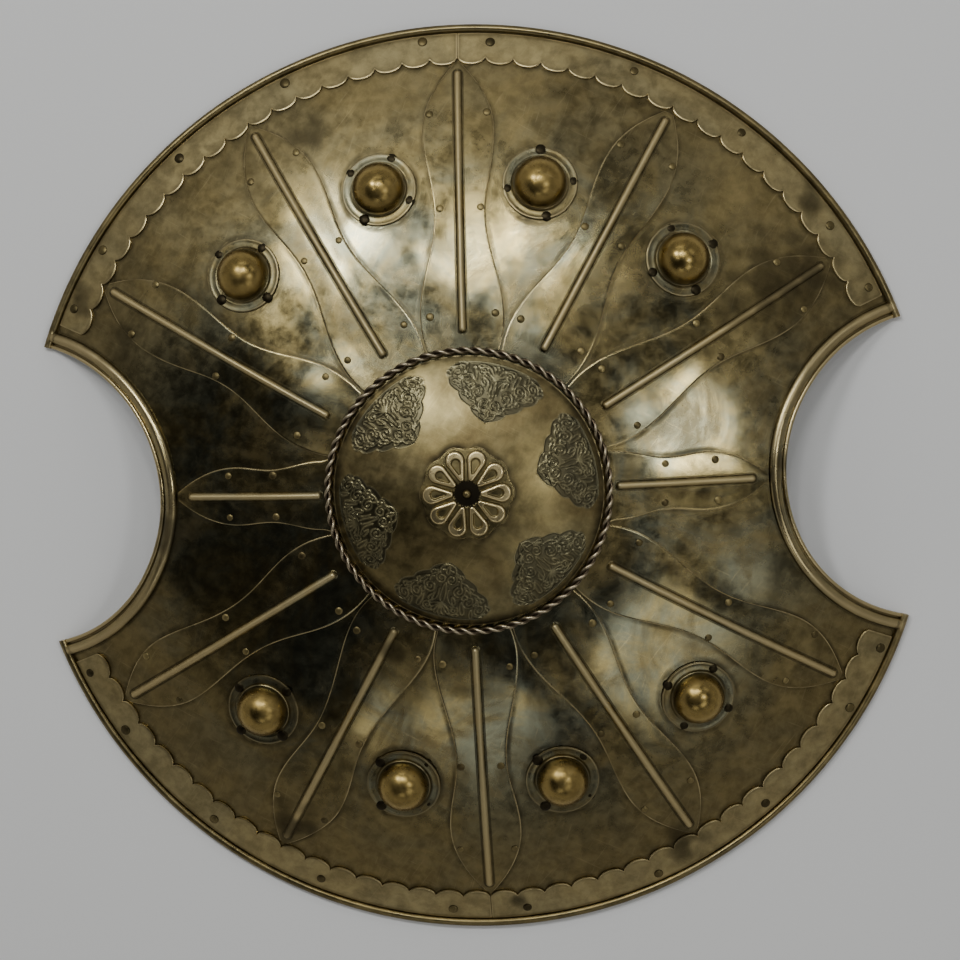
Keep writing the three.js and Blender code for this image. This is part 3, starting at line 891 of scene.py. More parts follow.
def panel_lines():
    """Curves of a palmette between paired scrolls, in mm: x across, y out from the panel's point"""
    half = [
        bow((0.0, 2.0), (5.5, 9.5), -0.25), spiral((3.6, 12.5), 3.4, 1.6, -1.2, 1),
        bow((1.0, 6.0), (11.0, 17.0), -0.22), spiral((10.2, 20.2), 4.2, 1.8, -0.9, 1),
        bow((8.5, 13.0), (19.0, 23.5), -0.18), spiral((18.4, 27.6), 4.6, 1.9, -0.8, 1),
        bow((17.0, 21.0), (27.5, 29.5), -0.16), spiral((26.8, 33.4), 4.0, 1.8, -0.8, 1),
        petal((13.5, 17.5), 0.35, 7.0, 1.7), petal((22.5, 24.8), 0.45, 7.0, 1.6),
        petal((30.5, 31.0), 0.75, 6.0, 1.4), petal((6.5, 8.5), 0.45, 5.5, 1.5),
        petal((13.0, 27.5), 1.25, 10.0, 1.9), petal((20.8, 33.0), 1.35, 6.5, 1.5),
        petal((6.4, 24.5), 1.15, 6.0, 1.6), spiral((9.4, 34.0), 3.0, 1.5, 2.4, -1),
        spiral((14.6, 24.8), 1.9, 1.1, 0.4, -1), spiral((23.4, 29.6), 1.6, 1.1, 0.4, -1),
        bow((3.2, 20.0), (9.5, 31.5), 0.2), bow((30.8, 36.6), (35.5, 37.4), 0.2),
        petal((5.0, 37.2), 0.05, 8.0, 1.3), petal((24.5, 38.0), 0.0, 7.0, 1.0),
    ]
    up = math.pi / 2
    stem = [petal((0.0, 15.0), up, 14.0, 2.3), petal((0.0, 3.0), up, 6.0, 1.5)]
    fan = [
        petal((0.0, 29.5), up + turn, 9.5, 1.5) for turn in (-1.1, -0.72, -0.36, 0.0, 0.36, 0.72, 1.1)
    ]
    mirrored = [curve * np.array([-1.0, 1.0]) for curve in half]
    return [*half, *mirrored, *stem, *fan]


def line_tree():
    """The panel's curves as points for a search of the nearest one"""
    points = []
    for curve in panel_lines():
        for start, end in zip(curve[:-1], curve[1:]):
            steps = max(2, int(np.hypot(*(end - start)) / LINE_POINT_PITCH))
            shares = np.linspace(0, 1, steps, endpoint=False)
            points.extend(start + (end - start) * share for share in shares)
    tree = kdtree.KDTree(len(points))
    for index, point in enumerate(points):
        tree.insert((point[0], point[1], 0.0), index)
    tree.balance()
    return tree


def chasing(x, y):
    """For plan places on the boss: how far each is inside a panel, and how near a raised line"""
    tree = line_tree()
    inside = np.zeros(x.shape)
    line = np.zeros(x.shape)
    reach = np.hypot(x, y)
    for index in range(PANEL_COUNT):
        middle = PANEL_FIRST + index * 2 * np.pi / PANEL_COUNT
        across = (np.angle(np.exp(1j * (np.arctan2(y, x) - middle))) * reach) / MM
        out = (reach - PANEL_INNER) / MM
        from_ends = np.minimum(out, (PANEL_OUTER - reach) / MM)
        within = np.minimum(panel_half_width(out) - np.abs(across), from_ends)
        for place in np.nonzero(within > -1.5)[0]:
            at = (across[place] / PANEL_LINE_SCALE, out[place] / PANEL_LINE_SCALE, 0.0)
            distance = tree.find(at)[2] * PANEL_LINE_SCALE
            border = abs(within[place] - 0.5)
            inside[place] = max(inside[place], min(max(within[place] / 0.6, 0.0), 1.0))
            nearest = min(distance, border)
            line[place] = max(line[place], min(max(1.35 - nearest / (LINE_HALF_WIDTH / MM), 0.0), 1.0))
    return inside, line


BOSS_SEGMENTS = 800


def shell(rings, crown_height, hollow_height):
    """Faces and points of a closed shell of spokes, each from the crown out and back underneath"""
    spokes, sides = rings.shape[:2]
    spoke = np.arange(spokes)[:, None]
    step = np.arange(sides - 1)[None, :]
    after = (spoke + 1) % spokes
    quads = np.stack(
        [spoke * sides + step, spoke * sides + step + 1, after * sides + step + 1, after * sides + step], -1
    )
    faces = quads.reshape(-1, 4).tolist()
    crown, hollow = spokes * sides, spokes * sides + 1
    for index in range(spokes):
        beside = (index + 1) % spokes
        faces.append([crown, index * sides, beside * sides])
        faces.append([hollow, beside * sides + sides - 1, index * sides + sides - 1])
    return faces, np.concatenate([rings.reshape(-1, 3), [[0, 0, crown_height]], [[0, 0, hollow_height]]])


# Margins of the finely divided zone round the panels, its step, and the spacing of the rest
FINE_MARGIN = 1.6 * MM
FINE_STEP = 0.55 * MM
PLAIN_RINGS = 26
RIM_RINGS = 5
# Dirt and painted shade beside the rosette run this much narrower than beside the boss's edge
FLOWER_DIRT_AND_SHADE = 1.6


def boss_reaches():
    boss = settings().shield_boss
    plain = np.linspace(1.2 * MM, PANEL_INNER - 2 * MM, PLAIN_RINGS)
    fine = np.arange(PANEL_INNER - FINE_MARGIN, PANEL_OUTER + FINE_MARGIN, FINE_STEP)
    rim = np.linspace(fine[-1] + 0.9 * MM, boss.radius - 0.2 * MM, RIM_RINGS)
    return np.concatenate([plain, fine, rim])


def make_centre_boss():
    boss = settings().shield_boss
    dome = BossDome()
    reaches = boss_reaches()
    angles = np.linspace(0, 2 * np.pi, BOSS_SEGMENTS, endpoint=False)
    x, y = np.outer(np.cos(angles), reaches).reshape(-1), np.outer(np.sin(angles), reaches).reshape(-1)
    inside, line = chasing(x, y)
    lift = inside * (line - CHASED_BELOW) * boss.engraving_depth
    top = dome.over(x, y, lift).reshape(BOSS_SEGMENTS, -1, 3)
    base = BOSS_LOW.z
    under = [(boss.radius - 0.1 * MM, base + 0.2 * MM), (boss.radius - 3 * boss.sheet, base + boss.sheet)]
    under += cap_section(dome.sphere - boss.sheet, dome.centre, boss.radius - 4 * boss.sheet, 8)[:0:-1]
    level = np.ones(BOSS_SEGMENTS)
    low = np.stack([np.stack([r * np.cos(angles), r * np.sin(angles), z * level], -1) for r, z in under], 1)
    faces, points = shell(np.concatenate([top, low], 1), BOSS_HIGH.z, BOSS_HIGH.z - boss.sheet)
    filled = {}
    for key, values in {"inked": inside * (1 - line), "panel": inside}.items():
        blank = np.zeros((BOSS_SEGMENTS, len(under)))
        padded = np.concatenate([values.reshape(BOSS_SEGMENTS, -1), blank], 1)
        filled[key] = np.concatenate([padded.reshape(-1), [0, 0]])
    reach = np.hypot(points[:, 0], points[:, 1])
    flower = rosette_outline(np.arctan2(points[:, 1], points[:, 0]))
    # Dirt and painted shade darken the boss beside the rope and round the rosette's outline
    filled["edge"] = np.minimum(np.abs(reach - boss.radius), FLOWER_DIRT_AND_SHADE * np.abs(reach - flower))
    filled["stain"] = np.zeros(len(points))
    filled["rubbed"] = np.zeros(len(points))
    piece = mesh_object("centre_boss_sheet", points, faces, filled)
    finish_piece(piece, boss_finish(), ["centre_boss"])


# Rosette

ROSETTE_STEPS_PER_PETAL = 56
ROSETTE_RINGS = 92
ROSETTE_GAP = 0.3 * MM
EYE_RINGS = 6
PETAL_NOTCH = 2.4 * MM
# Petals and their hollows, as the distance and radius of a round inner and a round outer end
PETAL_ENDS = (12.0 * MM, 2.6 * MM, 26.0 * MM, 7.3 * MM)
HOLLOW_ENDS = (16.2 * MM, 1.0 * MM, 23.8 * MM, 3.4 * MM)
# Heights over the rosette's border, and the width over which a petal rounds up to its own
BORDER_HEIGHT = 0.8 * MM
PETAL_HEIGHT = 2.6 * MM
HOLLOW_DEPTH = 1.6 * MM
PETAL_ROUNDING = 2.2 * MM
# Where the plain border starts, as distances from the centre and from a notch's middle line
BORDER_REACH = (31.0 * MM, 32.6 * MM)
BORDER_NOTCH = (0.2 * MM, 1.2 * MM)
CLEAN_BORDER = 3 * MM
EYE_WAVER = 0.35 * MM
EYE_LIFT = 0.3 * MM
# How dark the sunk eye and the wall round it are painted
EYE_DARKENING = 1.17


def inside_drop(along, across, ends):
    """Depth inside a drop shape with two round ends, less than nothing outside"""
    inner, inner_radius, outer, outer_radius = ends
    reach = outer - inner
    slope = (inner_radius - outer_radius) / reach
    level = math.sqrt(1 - slope**2)
    across, along = np.abs(across), along - inner
    over = -slope * across + level * along
    start = np.hypot(across, along) - inner_radius
    finish = np.hypot(across, along - reach) - outer_radius
    side = level * across + slope * along - inner_radius
    return -np.select([over < 0, over > level * reach], [start, finish], side)


def smooth_step(value, low, high):
    share = np.clip((value - low) / (high - low), 0, 1)
    return share * share * (3 - 2 * share)


def rosette_outline(angles):
    """Radius of the rosette's outline, with a notch between the petals"""
    boss = settings().shield_boss
    return boss.rosette - PETAL_NOTCH * (1 - np.abs(np.cos(angles * boss.petals / 2)))


def rosette_relief(reach, angle):
    """Height of the petals, how pale each place is painted for wear and as a highlight, and its distance from
    the nearest of the creases, where dirt and painted shade lie
    """
    boss = settings().shield_boss
    pitch = 2 * math.pi / boss.petals
    turn = (angle + pitch / 2) % pitch - pitch / 2
    along, across = reach * np.cos(turn), reach * np.sin(turn)
    petal = inside_drop(along, across, PETAL_ENDS)
    hollow = inside_drop(along, across, HOLLOW_ENDS)
    rise = 1 - (1 - np.clip(petal / PETAL_ROUNDING, 0, 1)) ** 2
    sunk = smooth_step(hollow, -0.5 * MM, 0.7 * MM)
    height = BORDER_HEIGHT + PETAL_HEIGHT * np.sqrt(rise) - HOLLOW_DEPTH * sunk
    rubbed = np.clip(smooth_step(petal, 0.4 * MM, 1.4 * MM) - smooth_step(hollow, -0.8 * MM, 0.1 * MM), 0, 1)
    from_notch = reach * np.sin(pitch / 2 - np.abs(turn))
    on_border = smooth_step(reach, *BORDER_REACH) * smooth_step(from_notch, *BORDER_NOTCH)
    crease = np.minimum(np.abs(hollow), petal + 0.3 * MM)
    crease = np.where(petal < 0, CLEAN_BORDER * on_border, crease)
    return height, rubbed, crease


def make_rosette():
    boss = settings().shield_boss
    dome = BossDome()
    steps = boss.petals * ROSETTE_STEPS_PER_PETAL
    angles = np.linspace(0, 2 * np.pi, steps, endpoint=False)
    outline = rosette_outline(angles)
    eye = boss.eye + EYE_WAVER * np.sin(3 * boss.petals * angles)
    share = np.linspace(0, 1, ROSETTE_RINGS)
    reach = eye[:, None] + (outline - eye)[:, None] * share[None, :]
    turned = np.broadcast_to(angles[:, None], reach.shape)
    height, rubbed, crease = rosette_relief(reach, turned)
    wall = smooth_step(share, 0.0, 0.03)[None, :]
    fall = 1 - smooth_step(share, 0.975, 1.0)[None, :]
    lift = ROSETTE_GAP + height * wall * (0.15 + 0.85 * fall) + EYE_LIFT * (1 - wall)
    eye_reach = eye[:, None] * np.linspace(0.12, 0.97, EYE_RINGS)
    flat = np.zeros(eye_reach.shape)
    under = outline[:, None] * np.array([[0.99, 0.7, 0.35, 0.05]])
    all_reach = np.concatenate([eye_reach, reach, under], 1)
    all_lift = np.concatenate([flat + ROSETTE_GAP + EYE_LIFT, lift, np.full(under.shape, ROSETTE_GAP)], 1)
    x, y = all_reach * np.cos(angles)[:, None], all_reach * np.sin(angles)[:, None]
    rings = dome.over(x, y, all_lift)
    faces, points = shell(rings, BOSS_HIGH.z + ROSETTE_GAP + EYE_LIFT, BOSS_HIGH.z + ROSETTE_GAP)
    blank = np.zeros(under.shape)
    layers = {
        "rubbed": np.concatenate([flat, rubbed * wall, blank], 1),
        "edge": np.concatenate([flat, crease * wall, blank], 1),
        "stain": np.concatenate([flat + EYE_DARKENING, np.broadcast_to(1 - wall, reach.shape), blank], 1),
    }
    filled = {key: np.concatenate([values.reshape(-1), [values[0, 0], 0]]) for key, values in layers.items()}
    piece = mesh_object("rosette_plate", points, faces, filled)
    finish_piece(piece, rosette_finish(), ["rosette"])


EYE_STUD_FOOT = 0.5 * MM
EYE_STUD_STEPS = 12
EYE_STUD_SEGMENTS = 40


def make_rosette_stud():
    boss = settings().shield_boss
    low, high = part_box("rosette_stud")
    foot = low.z + EYE_STUD_FOOT
    dome = [
        (boss.eye_stud * math.sin(a), foot + (high.z - foot) * math.cos(a))
        for a in np.linspace(np.pi / 2, 0, EYE_STUD_STEPS)
    ]
    profile = [(0, low.z), (boss.eye_stud, low.z), *dome]
    ones = np.ones(len(profile))
    layers = {"edge": ones, "rubbed": ones * 0.1, "stain": ones * 0.35, "golden": ones * 0.4}
    piece = turned_piece("rosette_stud_head", profile, EYE_STUD_SEGMENTS, layers)
    finish_piece(piece, stud_finish(), ["rosette_stud"])


# Node helpers

def add_inputs(tree, inputs):
    for label, kind, default in inputs:
        socket = tree.interface.new_socket(label, in_out="INPUT", socket_type=kind)
        if default is not None:
            socket.default_value = default


def feed(tree, socket, value):
    """Links a socket to another node's, or sets it to a plain value"""
    if isinstance(value, bpy.types.NodeSocket):
        tree.links.new(value, socket)
    else:
        socket.default_value = value


def node(tree, kind, values=None, **options):
    made = tree.nodes.new(kind)
    for key, value in options.items():
        setattr(made, key, value)
    for key, value in (values or {}).items():
        feed(tree, made.inputs[key], value)
    return made


def math_node(tree, operation, *values, clamp=False):
    made = node(tree, "ShaderNodeMath", dict(enumerate(values)), operation=operation, use_clamp=clamp)
    return made.outputs[0]


def times(tree, first, second):
    return math_node(tree, "MULTIPLY", first, second)


def most(tree, first, second):
    return math_node(tree, "MAXIMUM", first, second)


# Geometry Nodes

def new_tree(name, inputs):
    """An empty modifier tree with named inputs"""
    tree = bpy.data.node_groups.new(name, "GeometryNodeTree")
    tree.is_modifier = True
    tree.interface.new_socket("Geometry", in_out="INPUT", socket_type="NodeSocketGeometry")
    tree.interface.new_socket("Geometry", in_out="OUTPUT", socket_type="NodeSocketGeometry")
    add_inputs(tree, [*inputs, ("Material", "NodeSocketMaterial", None)])
    return tree, tree.nodes.new("NodeGroupInput").outputs


def end_tree(tree, given, geometry):
    """Ends a tree: instances made real, and the material set"""
    whole = node(tree, "GeometryNodeRealizeInstances", {0: geometry})
    paint = node(
        tree, "GeometryNodeSetMaterial", {"Geometry": whole.outputs[0], "Material": given["Material"]}
    )
    node(tree, "NodeGroupOutput", {0: paint.outputs[0]})
    return tree


def seed_points(name, points, square_to, attributes=None):
    """Loose points for a tree, each with the direction that its shape stands along"""
    seed = mesh_object(name, points, [], attributes)
    layer = seed.data.attributes.new("square_to", "FLOAT_VECTOR", "POINT")
    layer.data.foreach_set("vector", np.asarray(square_to, np.float32).reshape(-1))
    return seed


def on_points(tree, given, shape, width, height, scale=1.0):
    """A shape on every point, its width and height set, and its Z along the point's direction"""
    size = node(tree, "ShaderNodeCombineXYZ", {"X": width, "Y": width, "Z": height})
    shaped = node(tree, "GeometryNodeTransform", {"Geometry": shape, "Scale": size.outputs[0]})
    direction = node(
        tree, "GeometryNodeInputNamedAttribute", {"Name": "square_to"}, data_type="FLOAT_VECTOR"
    )
    turn = node(
        tree, "FunctionNodeAlignRotationToVector", {"Vector": direction.outputs["Attribute"]}, axis="Z"
    )
    dots = node(tree, "GeometryNodeMeshToPoints", {"Mesh": given["Geometry"]})
    put = node(
        tree, "GeometryNodeInstanceOnPoints",
        {"Points": dots.outputs[0], "Instance": shaped.outputs[0], "Rotation": turn.outputs["Rotation"]},
    )
    if scale != 1.0:
        tree.links.new(scale, put.inputs["Scale"])
    return put.outputs[0]


def grow(piece, tree, values, material):
    """Runs a tree on a piece with its inputs set by identifier, and keeps the plain mesh"""
    modifier = piece.modifiers.new(tree.name, "NODES")
    modifier.node_group = tree
    for item in tree.interface.items_tree:
        if item.item_type == "SOCKET" and item.in_out == "INPUT" and item.name in values:
            modifier[item.identifier] = values[item.name]
        if item.item_type == "SOCKET" and item.name == "Material":
            modifier[item.identifier] = material
    mesh = evaluated_mesh(piece)
    grown = bpy.data.objects.new(piece.name + "_grown", mesh)
    bpy.context.scene.collection.objects.link(grown)
    name = piece.name
    bpy.data.objects.remove(piece)
    grown.name = name
    return grown


# Rope of two twisted wires

ROPE_STEPS_PER_TURN = 34
WIRE_SIDES = 9


def rope_tree():
    tree, given = new_tree(
        "Twisted wires",
        [
            ("Ring Radius", "NodeSocketFloat", 0.1056),
            ("Ring Height", "NodeSocketFloat", 0.09),
            ("Wire Radius", "NodeSocketFloat", 0.0017),
            ("Turns", "NodeSocketInt", 34),
            ("Steps", "NodeSocketInt", 1156),
        ],
    )
    join = tree.nodes.new("GeometryNodeJoinGeometry")
    for phase in (0.0, math.pi):
        ring = node(
            tree, "GeometryNodeCurvePrimitiveCircle",
            {"Resolution": given["Steps"], "Radius": given["Ring Radius"]},
        )
        share = tree.nodes.new("GeometryNodeSplineParameter").outputs["Factor"]
        twist = math_node(tree, "MULTIPLY_ADD", times(tree, share, given["Turns"]), -2 * math.pi, phase)
        place = tree.nodes.new("GeometryNodeInputPosition").outputs[0]
        outward = node(tree, "ShaderNodeVectorMath", {0: place}, operation="NORMALIZE")
        sway = times(tree, math_node(tree, "COSINE", twist), given["Wire Radius"])
        out_by = node(
            tree, "ShaderNodeVectorMath", {0: outward.outputs[0], "Scale": sway}, operation="SCALE"
        )
        heave = times(tree, math_node(tree, "SINE", twist), given["Wire Radius"])
        lift = math_node(tree, "ADD", heave, given["Ring Height"])
        up_by = node(tree, "ShaderNodeCombineXYZ", {"Z": lift})
        offset = node(
            tree, "ShaderNodeVectorMath", {0: out_by.outputs[0], 1: up_by.outputs[0]}, operation="ADD"
        )
        moved = node(
            tree, "GeometryNodeSetPosition", {"Geometry": ring.outputs["Curve"], "Offset": offset.outputs[0]}
        )
        section = node(
            tree, "GeometryNodeCurvePrimitiveCircle",
            {"Resolution": WIRE_SIDES, "Radius": given["Wire Radius"]},
        )
        wire = node(
            tree, "GeometryNodeCurveToMesh",
            {"Curve": moved.outputs[0], "Profile Curve": section.outputs["Curve"]},
        )
        tree.links.new(wire.outputs[0], join.inputs[0])
    return end_tree(tree, given, join.outputs[0])


def make_rope():
    boss = settings().shield_boss
    middle = (ROPE_LOW + ROPE_HIGH) / 2
    tube = (ROPE_HIGH.z - ROPE_LOW.z) / 2
    ring_radius = ROPE_HIGH.x - tube
    seed = mesh_object("rope_wires", np.zeros((1, 3)), [])
    material = wire_finish()
    values = {
        "Ring Radius": ring_radius, "Ring Height": middle.z, "Wire Radius": boss.rope_wire,
        "Turns": boss.rope_turns, "Steps": boss.rope_turns * ROPE_STEPS_PER_TURN,
    }
    piece = grow(seed, rope_tree(), values, material)
    places = vertex_places(piece)
    from_ring = np.hypot(places[:, 0], places[:, 1]) - ring_radius
    out = np.hypot(from_ring, places[:, 2] - middle.z) / (2 * boss.rope_wire)
    # The crest layer marks the outer side of each wire, which is painted bright for wear and as a painted
    # highlight
    set_attribute(piece, "crest", np.clip((out - 0.55) / 0.45, 0, 1))
    finish_piece(piece, material, ["rope_ring"], 60)


# Rivets

def rivet_tree():
    tree, given = new_tree(
        "Rivet heads",
        [
            ("Radius", "NodeSocketFloat", 0.0027),
            ("Height", "NodeSocketFloat", 0.0006),
            ("Seed", "NodeSocketInt", 5),
        ],
    )
    head = node(tree, "GeometryNodeMeshUVSphere", {"Segments": 14, "Rings": 7, "Radius": 1.0})
    place = tree.nodes.new("GeometryNodeInputPosition").outputs[0]
    plan = node(tree, "ShaderNodeVectorMath", {0: place, 1: (1.0, 1.0, 0.0)}, operation="MULTIPLY")
    flat = node(tree, "ShaderNodeVectorMath", {0: plan.outputs[0]}, operation="LENGTH")
    rim = node(
        tree, "GeometryNodeStoreNamedAttribute",
        {"Name": "rim", "Geometry": head.outputs["Mesh"], "Value": flat.outputs["Value"]},
        data_type="FLOAT", domain="POINT",
    )
    scale = node(tree, "GeometryNodeInputNamedAttribute", {"Name": "head_scale"}, data_type="FLOAT")
    vary = node(tree, "FunctionNodeRandomValue", {2: 0.9, 3: 1.1, "Seed": given["Seed"]}, data_type="FLOAT")
    scaled = times(tree, scale.outputs["Attribute"], vary.outputs[1])
    heads = on_points(tree, given, rim.outputs[0], given["Radius"], given["Height"], scaled)
    return end_tree(tree, given, heads)


BAND_RIVET_HOURS = (0.16, 0.78, 1.33, 1.87, 2.17)
# Rivets of a long leaf and of one beside a notch: mm along from the root, and mm to each side
LEAF_RIVETS = {False: ((178, 21), (107, 15.5), (28, 25)), True: ((80, 15.5), (42, 15))}


# How far hand work strays: in mm along and across a leaf, and along and round the edging
LEAF_STRAY = 2.2
BAND_STRAY = 2
BAND_ANGLE_STRAY = 0.012
FLANGE_ANGLE_STRAY = 0.12
# Lift over its plate, and scale, of each kind of rivet head
LEAF_HEAD = (0.3 * MM, 1.0)
TIP_HEAD = (0.0, 0.8)
BAND_HEAD = (0.1 * MM, 1.25)
FLANGE_HEAD = (1.5 * MM, 1.35)
TIP_INSET = 3.2 * MM
TIP_DIRT = 0.8
BAND_ROW_SHARE = 0.42


def rivet_places():
    """Plan places, lifts, scales and dirt of every rivet on the front"""
    plate, stud, dish = settings().shield_plates, settings().shield_studs, settings().shield_dish
    rng = np.random.default_rng(21)
    top = plate.lift + plate.sheet
    rivets = []
    for hour in range(1, LEAF_COUNT + 1):
        leaf = Leaf(hour)
        for along, across in LEAF_RIVETS[hour in SIDE_HOURS]:
            for side in (-1, 1):
                shift = rng.uniform(-LEAF_STRAY, LEAF_STRAY, 2) * MM
                x, y = leaf.turned(leaf.root + along * MM + shift[0], side * (across * MM + shift[1] * 0.4))
                dirt = rng.choice((0.0, 0.0, 0.6))
                rivets.append((x, y, top + LEAF_HEAD[0], LEAF_HEAD[1], dirt))
        x, y = leaf.turned(leaf.tip - TIP_INSET, 0.0)
        rivets.append((x, y, top + TIP_HEAD[0], TIP_HEAD[1], TIP_DIRT))
    middle = dish.radius - dish.lip_width - plate.band_width * BAND_ROW_SHARE
    for quarter in BAND_QUARTERS.values():
        for hour in BAND_RIVET_HOURS:
            angle = hour_angle(hour) + rng.uniform(-BAND_ANGLE_STRAY, BAND_ANGLE_STRAY)
            reach = middle + rng.uniform(-BAND_STRAY, BAND_STRAY) * MM
            x, y = quarter[0] * reach * math.cos(angle), quarter[1] * reach * math.sin(angle)
            rivets.append((x, y, top + BAND_HEAD[0], BAND_HEAD[1], rng.uniform(0.3, 0.9)))
    circle = cusp_radius() - stud.from_band
    ring = (stud.dome + stud.flange) / 2 + 0.6 * MM
    for hour in STUD_HOURS:
        start = rng.uniform(0, math.pi / 2)
        for quarter in range(4):
            stray = rng.uniform(-FLANGE_ANGLE_STRAY, FLANGE_ANGLE_STRAY)
            angle = start + quarter * math.pi / 2 + stray
            x = circle * math.cos(hour_angle(hour)) + ring * math.cos(angle)
            y = circle * math.sin(hour_angle(hour)) + ring * math.sin(angle)
            rivets.append((x, y, *FLANGE_HEAD, 1.0))
    return rivets


def make_rivets():
    stud = settings().shield_studs
    dome = Dome()
    x, y, lift, scale, dirt = np.array(rivet_places()).T
    points = dome.over(x, y, lift)
    directions = points - np.array([0, 0, dome.centre])
    seed = seed_points("rivets", points, directions, {"head_scale": scale, "dirt": dirt})
    material = rivet_finish()
    piece = grow(seed, rivet_tree(), {"Radius": stud.rivet, "Height": stud.rivet_height, "Seed": 5}, material)
    finish_piece(piece, material)


# Straps on the back

STRAP_STEPS = 90
STRAP_SIDES = 28
# How square a strap's section is, over its width and over its thickness
WIDTH_POWER = 0.22
THICKNESS_POWER = 0.6
STITCH_PITCH = 5 * MM
STITCH_LENGTH = 3.4 * MM
STITCH_INSET = 4 * MM
THREAD_RADIUS = 0.5 * MM
CORNER_BEND = 3 * MM
FOOT_GAP = 0.3 * MM


def strap_path(half_span, clearance):
    """Middle line of a strap in its own Y-Z plane: foot, arch, foot"""
    strap = settings().shield_straps
    half_sheet = strap.thickness / 2
    foot = half_span + strap.foot
    arch = [
        ((half_span + half_sheet) * math.cos(a), -half_sheet - (clearance + half_sheet) * math.sin(a))
        for a in np.linspace(0, np.pi, STRAP_STEPS)
    ]
    arch = [place for place in arch if place[1] < -half_sheet - CORNER_BEND]
    shares = np.linspace(0, 1, 8)
    start = [(foot - FOOT_GAP - share * (strap.foot - CORNER_BEND), -half_sheet) for share in shares]
    end = [(-y, z) for y, z in start[::-1]]
    return np.array([*start, *arch, *end])


def strap_placement(grip, width):
    """Places a strap's foot plane square to the dish's inside"""
    if not grip:
        return Matrix.Translation((0, 0, ARM_HIGH.z))
    dish, strap = settings().shield_dish, settings().shield_straps
    dome = Dome()
    tilt = math.asin(strap.grip_radius / (dome.sphere - dish.sheet))
    centre = Vector((0, 0, dome.centre))
    square = Vector((-math.sin(tilt), 0, math.cos(tilt)))
    reach = (GRIP_HIGH.z - dome.centre - width / 2 * math.sin(tilt)) / math.cos(tilt)
    return Matrix.Translation(centre + square * reach) @ Matrix.Rotation(-tilt, 4, "Y")


def squared(circle, power):
    """A circle's coordinate, squared off by a power below one"""
    return np.sign(circle) * np.abs(circle) ** power


def make_strap(name, grip):
    strap = settings().shield_straps
    width = strap.grip_width if grip else ARM_HIGH.x - ARM_LOW.x
    half_span = (GRIP_HIGH if grip else ARM_HIGH).y - strap.foot
    path = strap_path(half_span, strap.grip_clearance if grip else strap.arm_clearance)
    tangent = np.gradient(path, axis=0)
    tangent /= np.linalg.norm(tangent, axis=1)[:, None]
    normal = np.stack([-tangent[:, 1], tangent[:, 0]], 1)
    half_x, half_n = width / 2, strap.thickness / 2
    angles = np.linspace(0, 2 * np.pi, STRAP_SIDES, endpoint=False)
    section_x = half_x * squared(np.cos(angles), WIDTH_POWER)
    section_n = half_n * squared(np.sin(angles), THICKNESS_POWER)
    rings = np.empty((len(path), len(angles), 3))
    rings[..., 0] = section_x[None, :]
    rings[..., 1:] = path[:, None, :] + normal[:, None, :] * section_n[None, :, None]
    edge = half_x - np.abs(np.broadcast_to(section_x, rings.shape[:2]))
    piece = loft(name + "_leather", rings, {"edge": edge})
    placement = strap_placement(grip, width)
    piece.data.transform(placement)
    recalculate_normals(piece)
    finish_piece(piece, leather_finish(), [name], 50)
    make_stitches(name + "_stitches", path, normal, width, half_n, placement)
    make_strap_rivets(name + "_rivets", half_span, width, placement)


def recalculate_normals(piece):
    mesh = bmesh.new()
    mesh.from_mesh(piece.data)
    bmesh.ops.recalc_face_normals(mesh, faces=mesh.faces)
    mesh.to_mesh(piece.data)
    mesh.free()


def stitch_tree():
    tree, given = new_tree(
        "Stitches",
        [("Stitch Length", "NodeSocketFloat", 0.0034), ("Thread Radius", "NodeSocketFloat", 0.0005)],
    )
    stitch = node(tree, "GeometryNodeMeshUVSphere", {"Segments": 8, "Rings": 6, "Radius": 1.0})
    half_length = times(tree, given["Stitch Length"], 0.5)
    stitches = on_points(tree, given, stitch.outputs["Mesh"], given["Thread Radius"], half_length)
    return end_tree(tree, given, stitches)


def make_stitches(name, path, normal, width, half_sheet, placement):
    """A row of stitches along both edges of a strap, on the side away from the dish"""
    lengths = np.concatenate([[0], np.cumsum(np.linalg.norm(np.diff(path, axis=0), axis=1))])
    marks = np.arange(STITCH_PITCH, lengths[-1] - STITCH_PITCH, STITCH_PITCH)
    y = np.interp(marks, lengths, path[:, 0])
    z = np.interp(marks, lengths, path[:, 1])
    tangent = np.stack([np.gradient(y), np.gradient(z)], 1)
    out = np.stack([np.interp(marks, lengths, normal[:, 0]), np.interp(marks, lengths, normal[:, 1])], 1)
    side = -1 if out[len(out) // 2, 1] > 0 else 1
    lift = side * (half_sheet + 0.1 * MM)
    points, directions = [], []
    for x in (-width / 2 + STITCH_INSET, width / 2 - STITCH_INSET):
        for index in range(len(marks)):
            points.append((x, y[index] + out[index, 0] * lift, z[index] + out[index, 1] * lift))
            directions.append((0.0, tangent[index, 0], tangent[index, 1]))
    seed = seed_points(name, points, directions)
    material = thread_finish()
    values = {"Stitch Length": STITCH_LENGTH, "Thread Radius": THREAD_RADIUS}
    piece = grow(seed, stitch_tree(), values, material)
    piece.data.transform(placement)
    finish_piece(piece, material)


STRAP_RIVET_ALONG = 0.55
STRAP_RIVET_ACROSS = 0.26
STRAP_RIVET_SCALE = 1.5


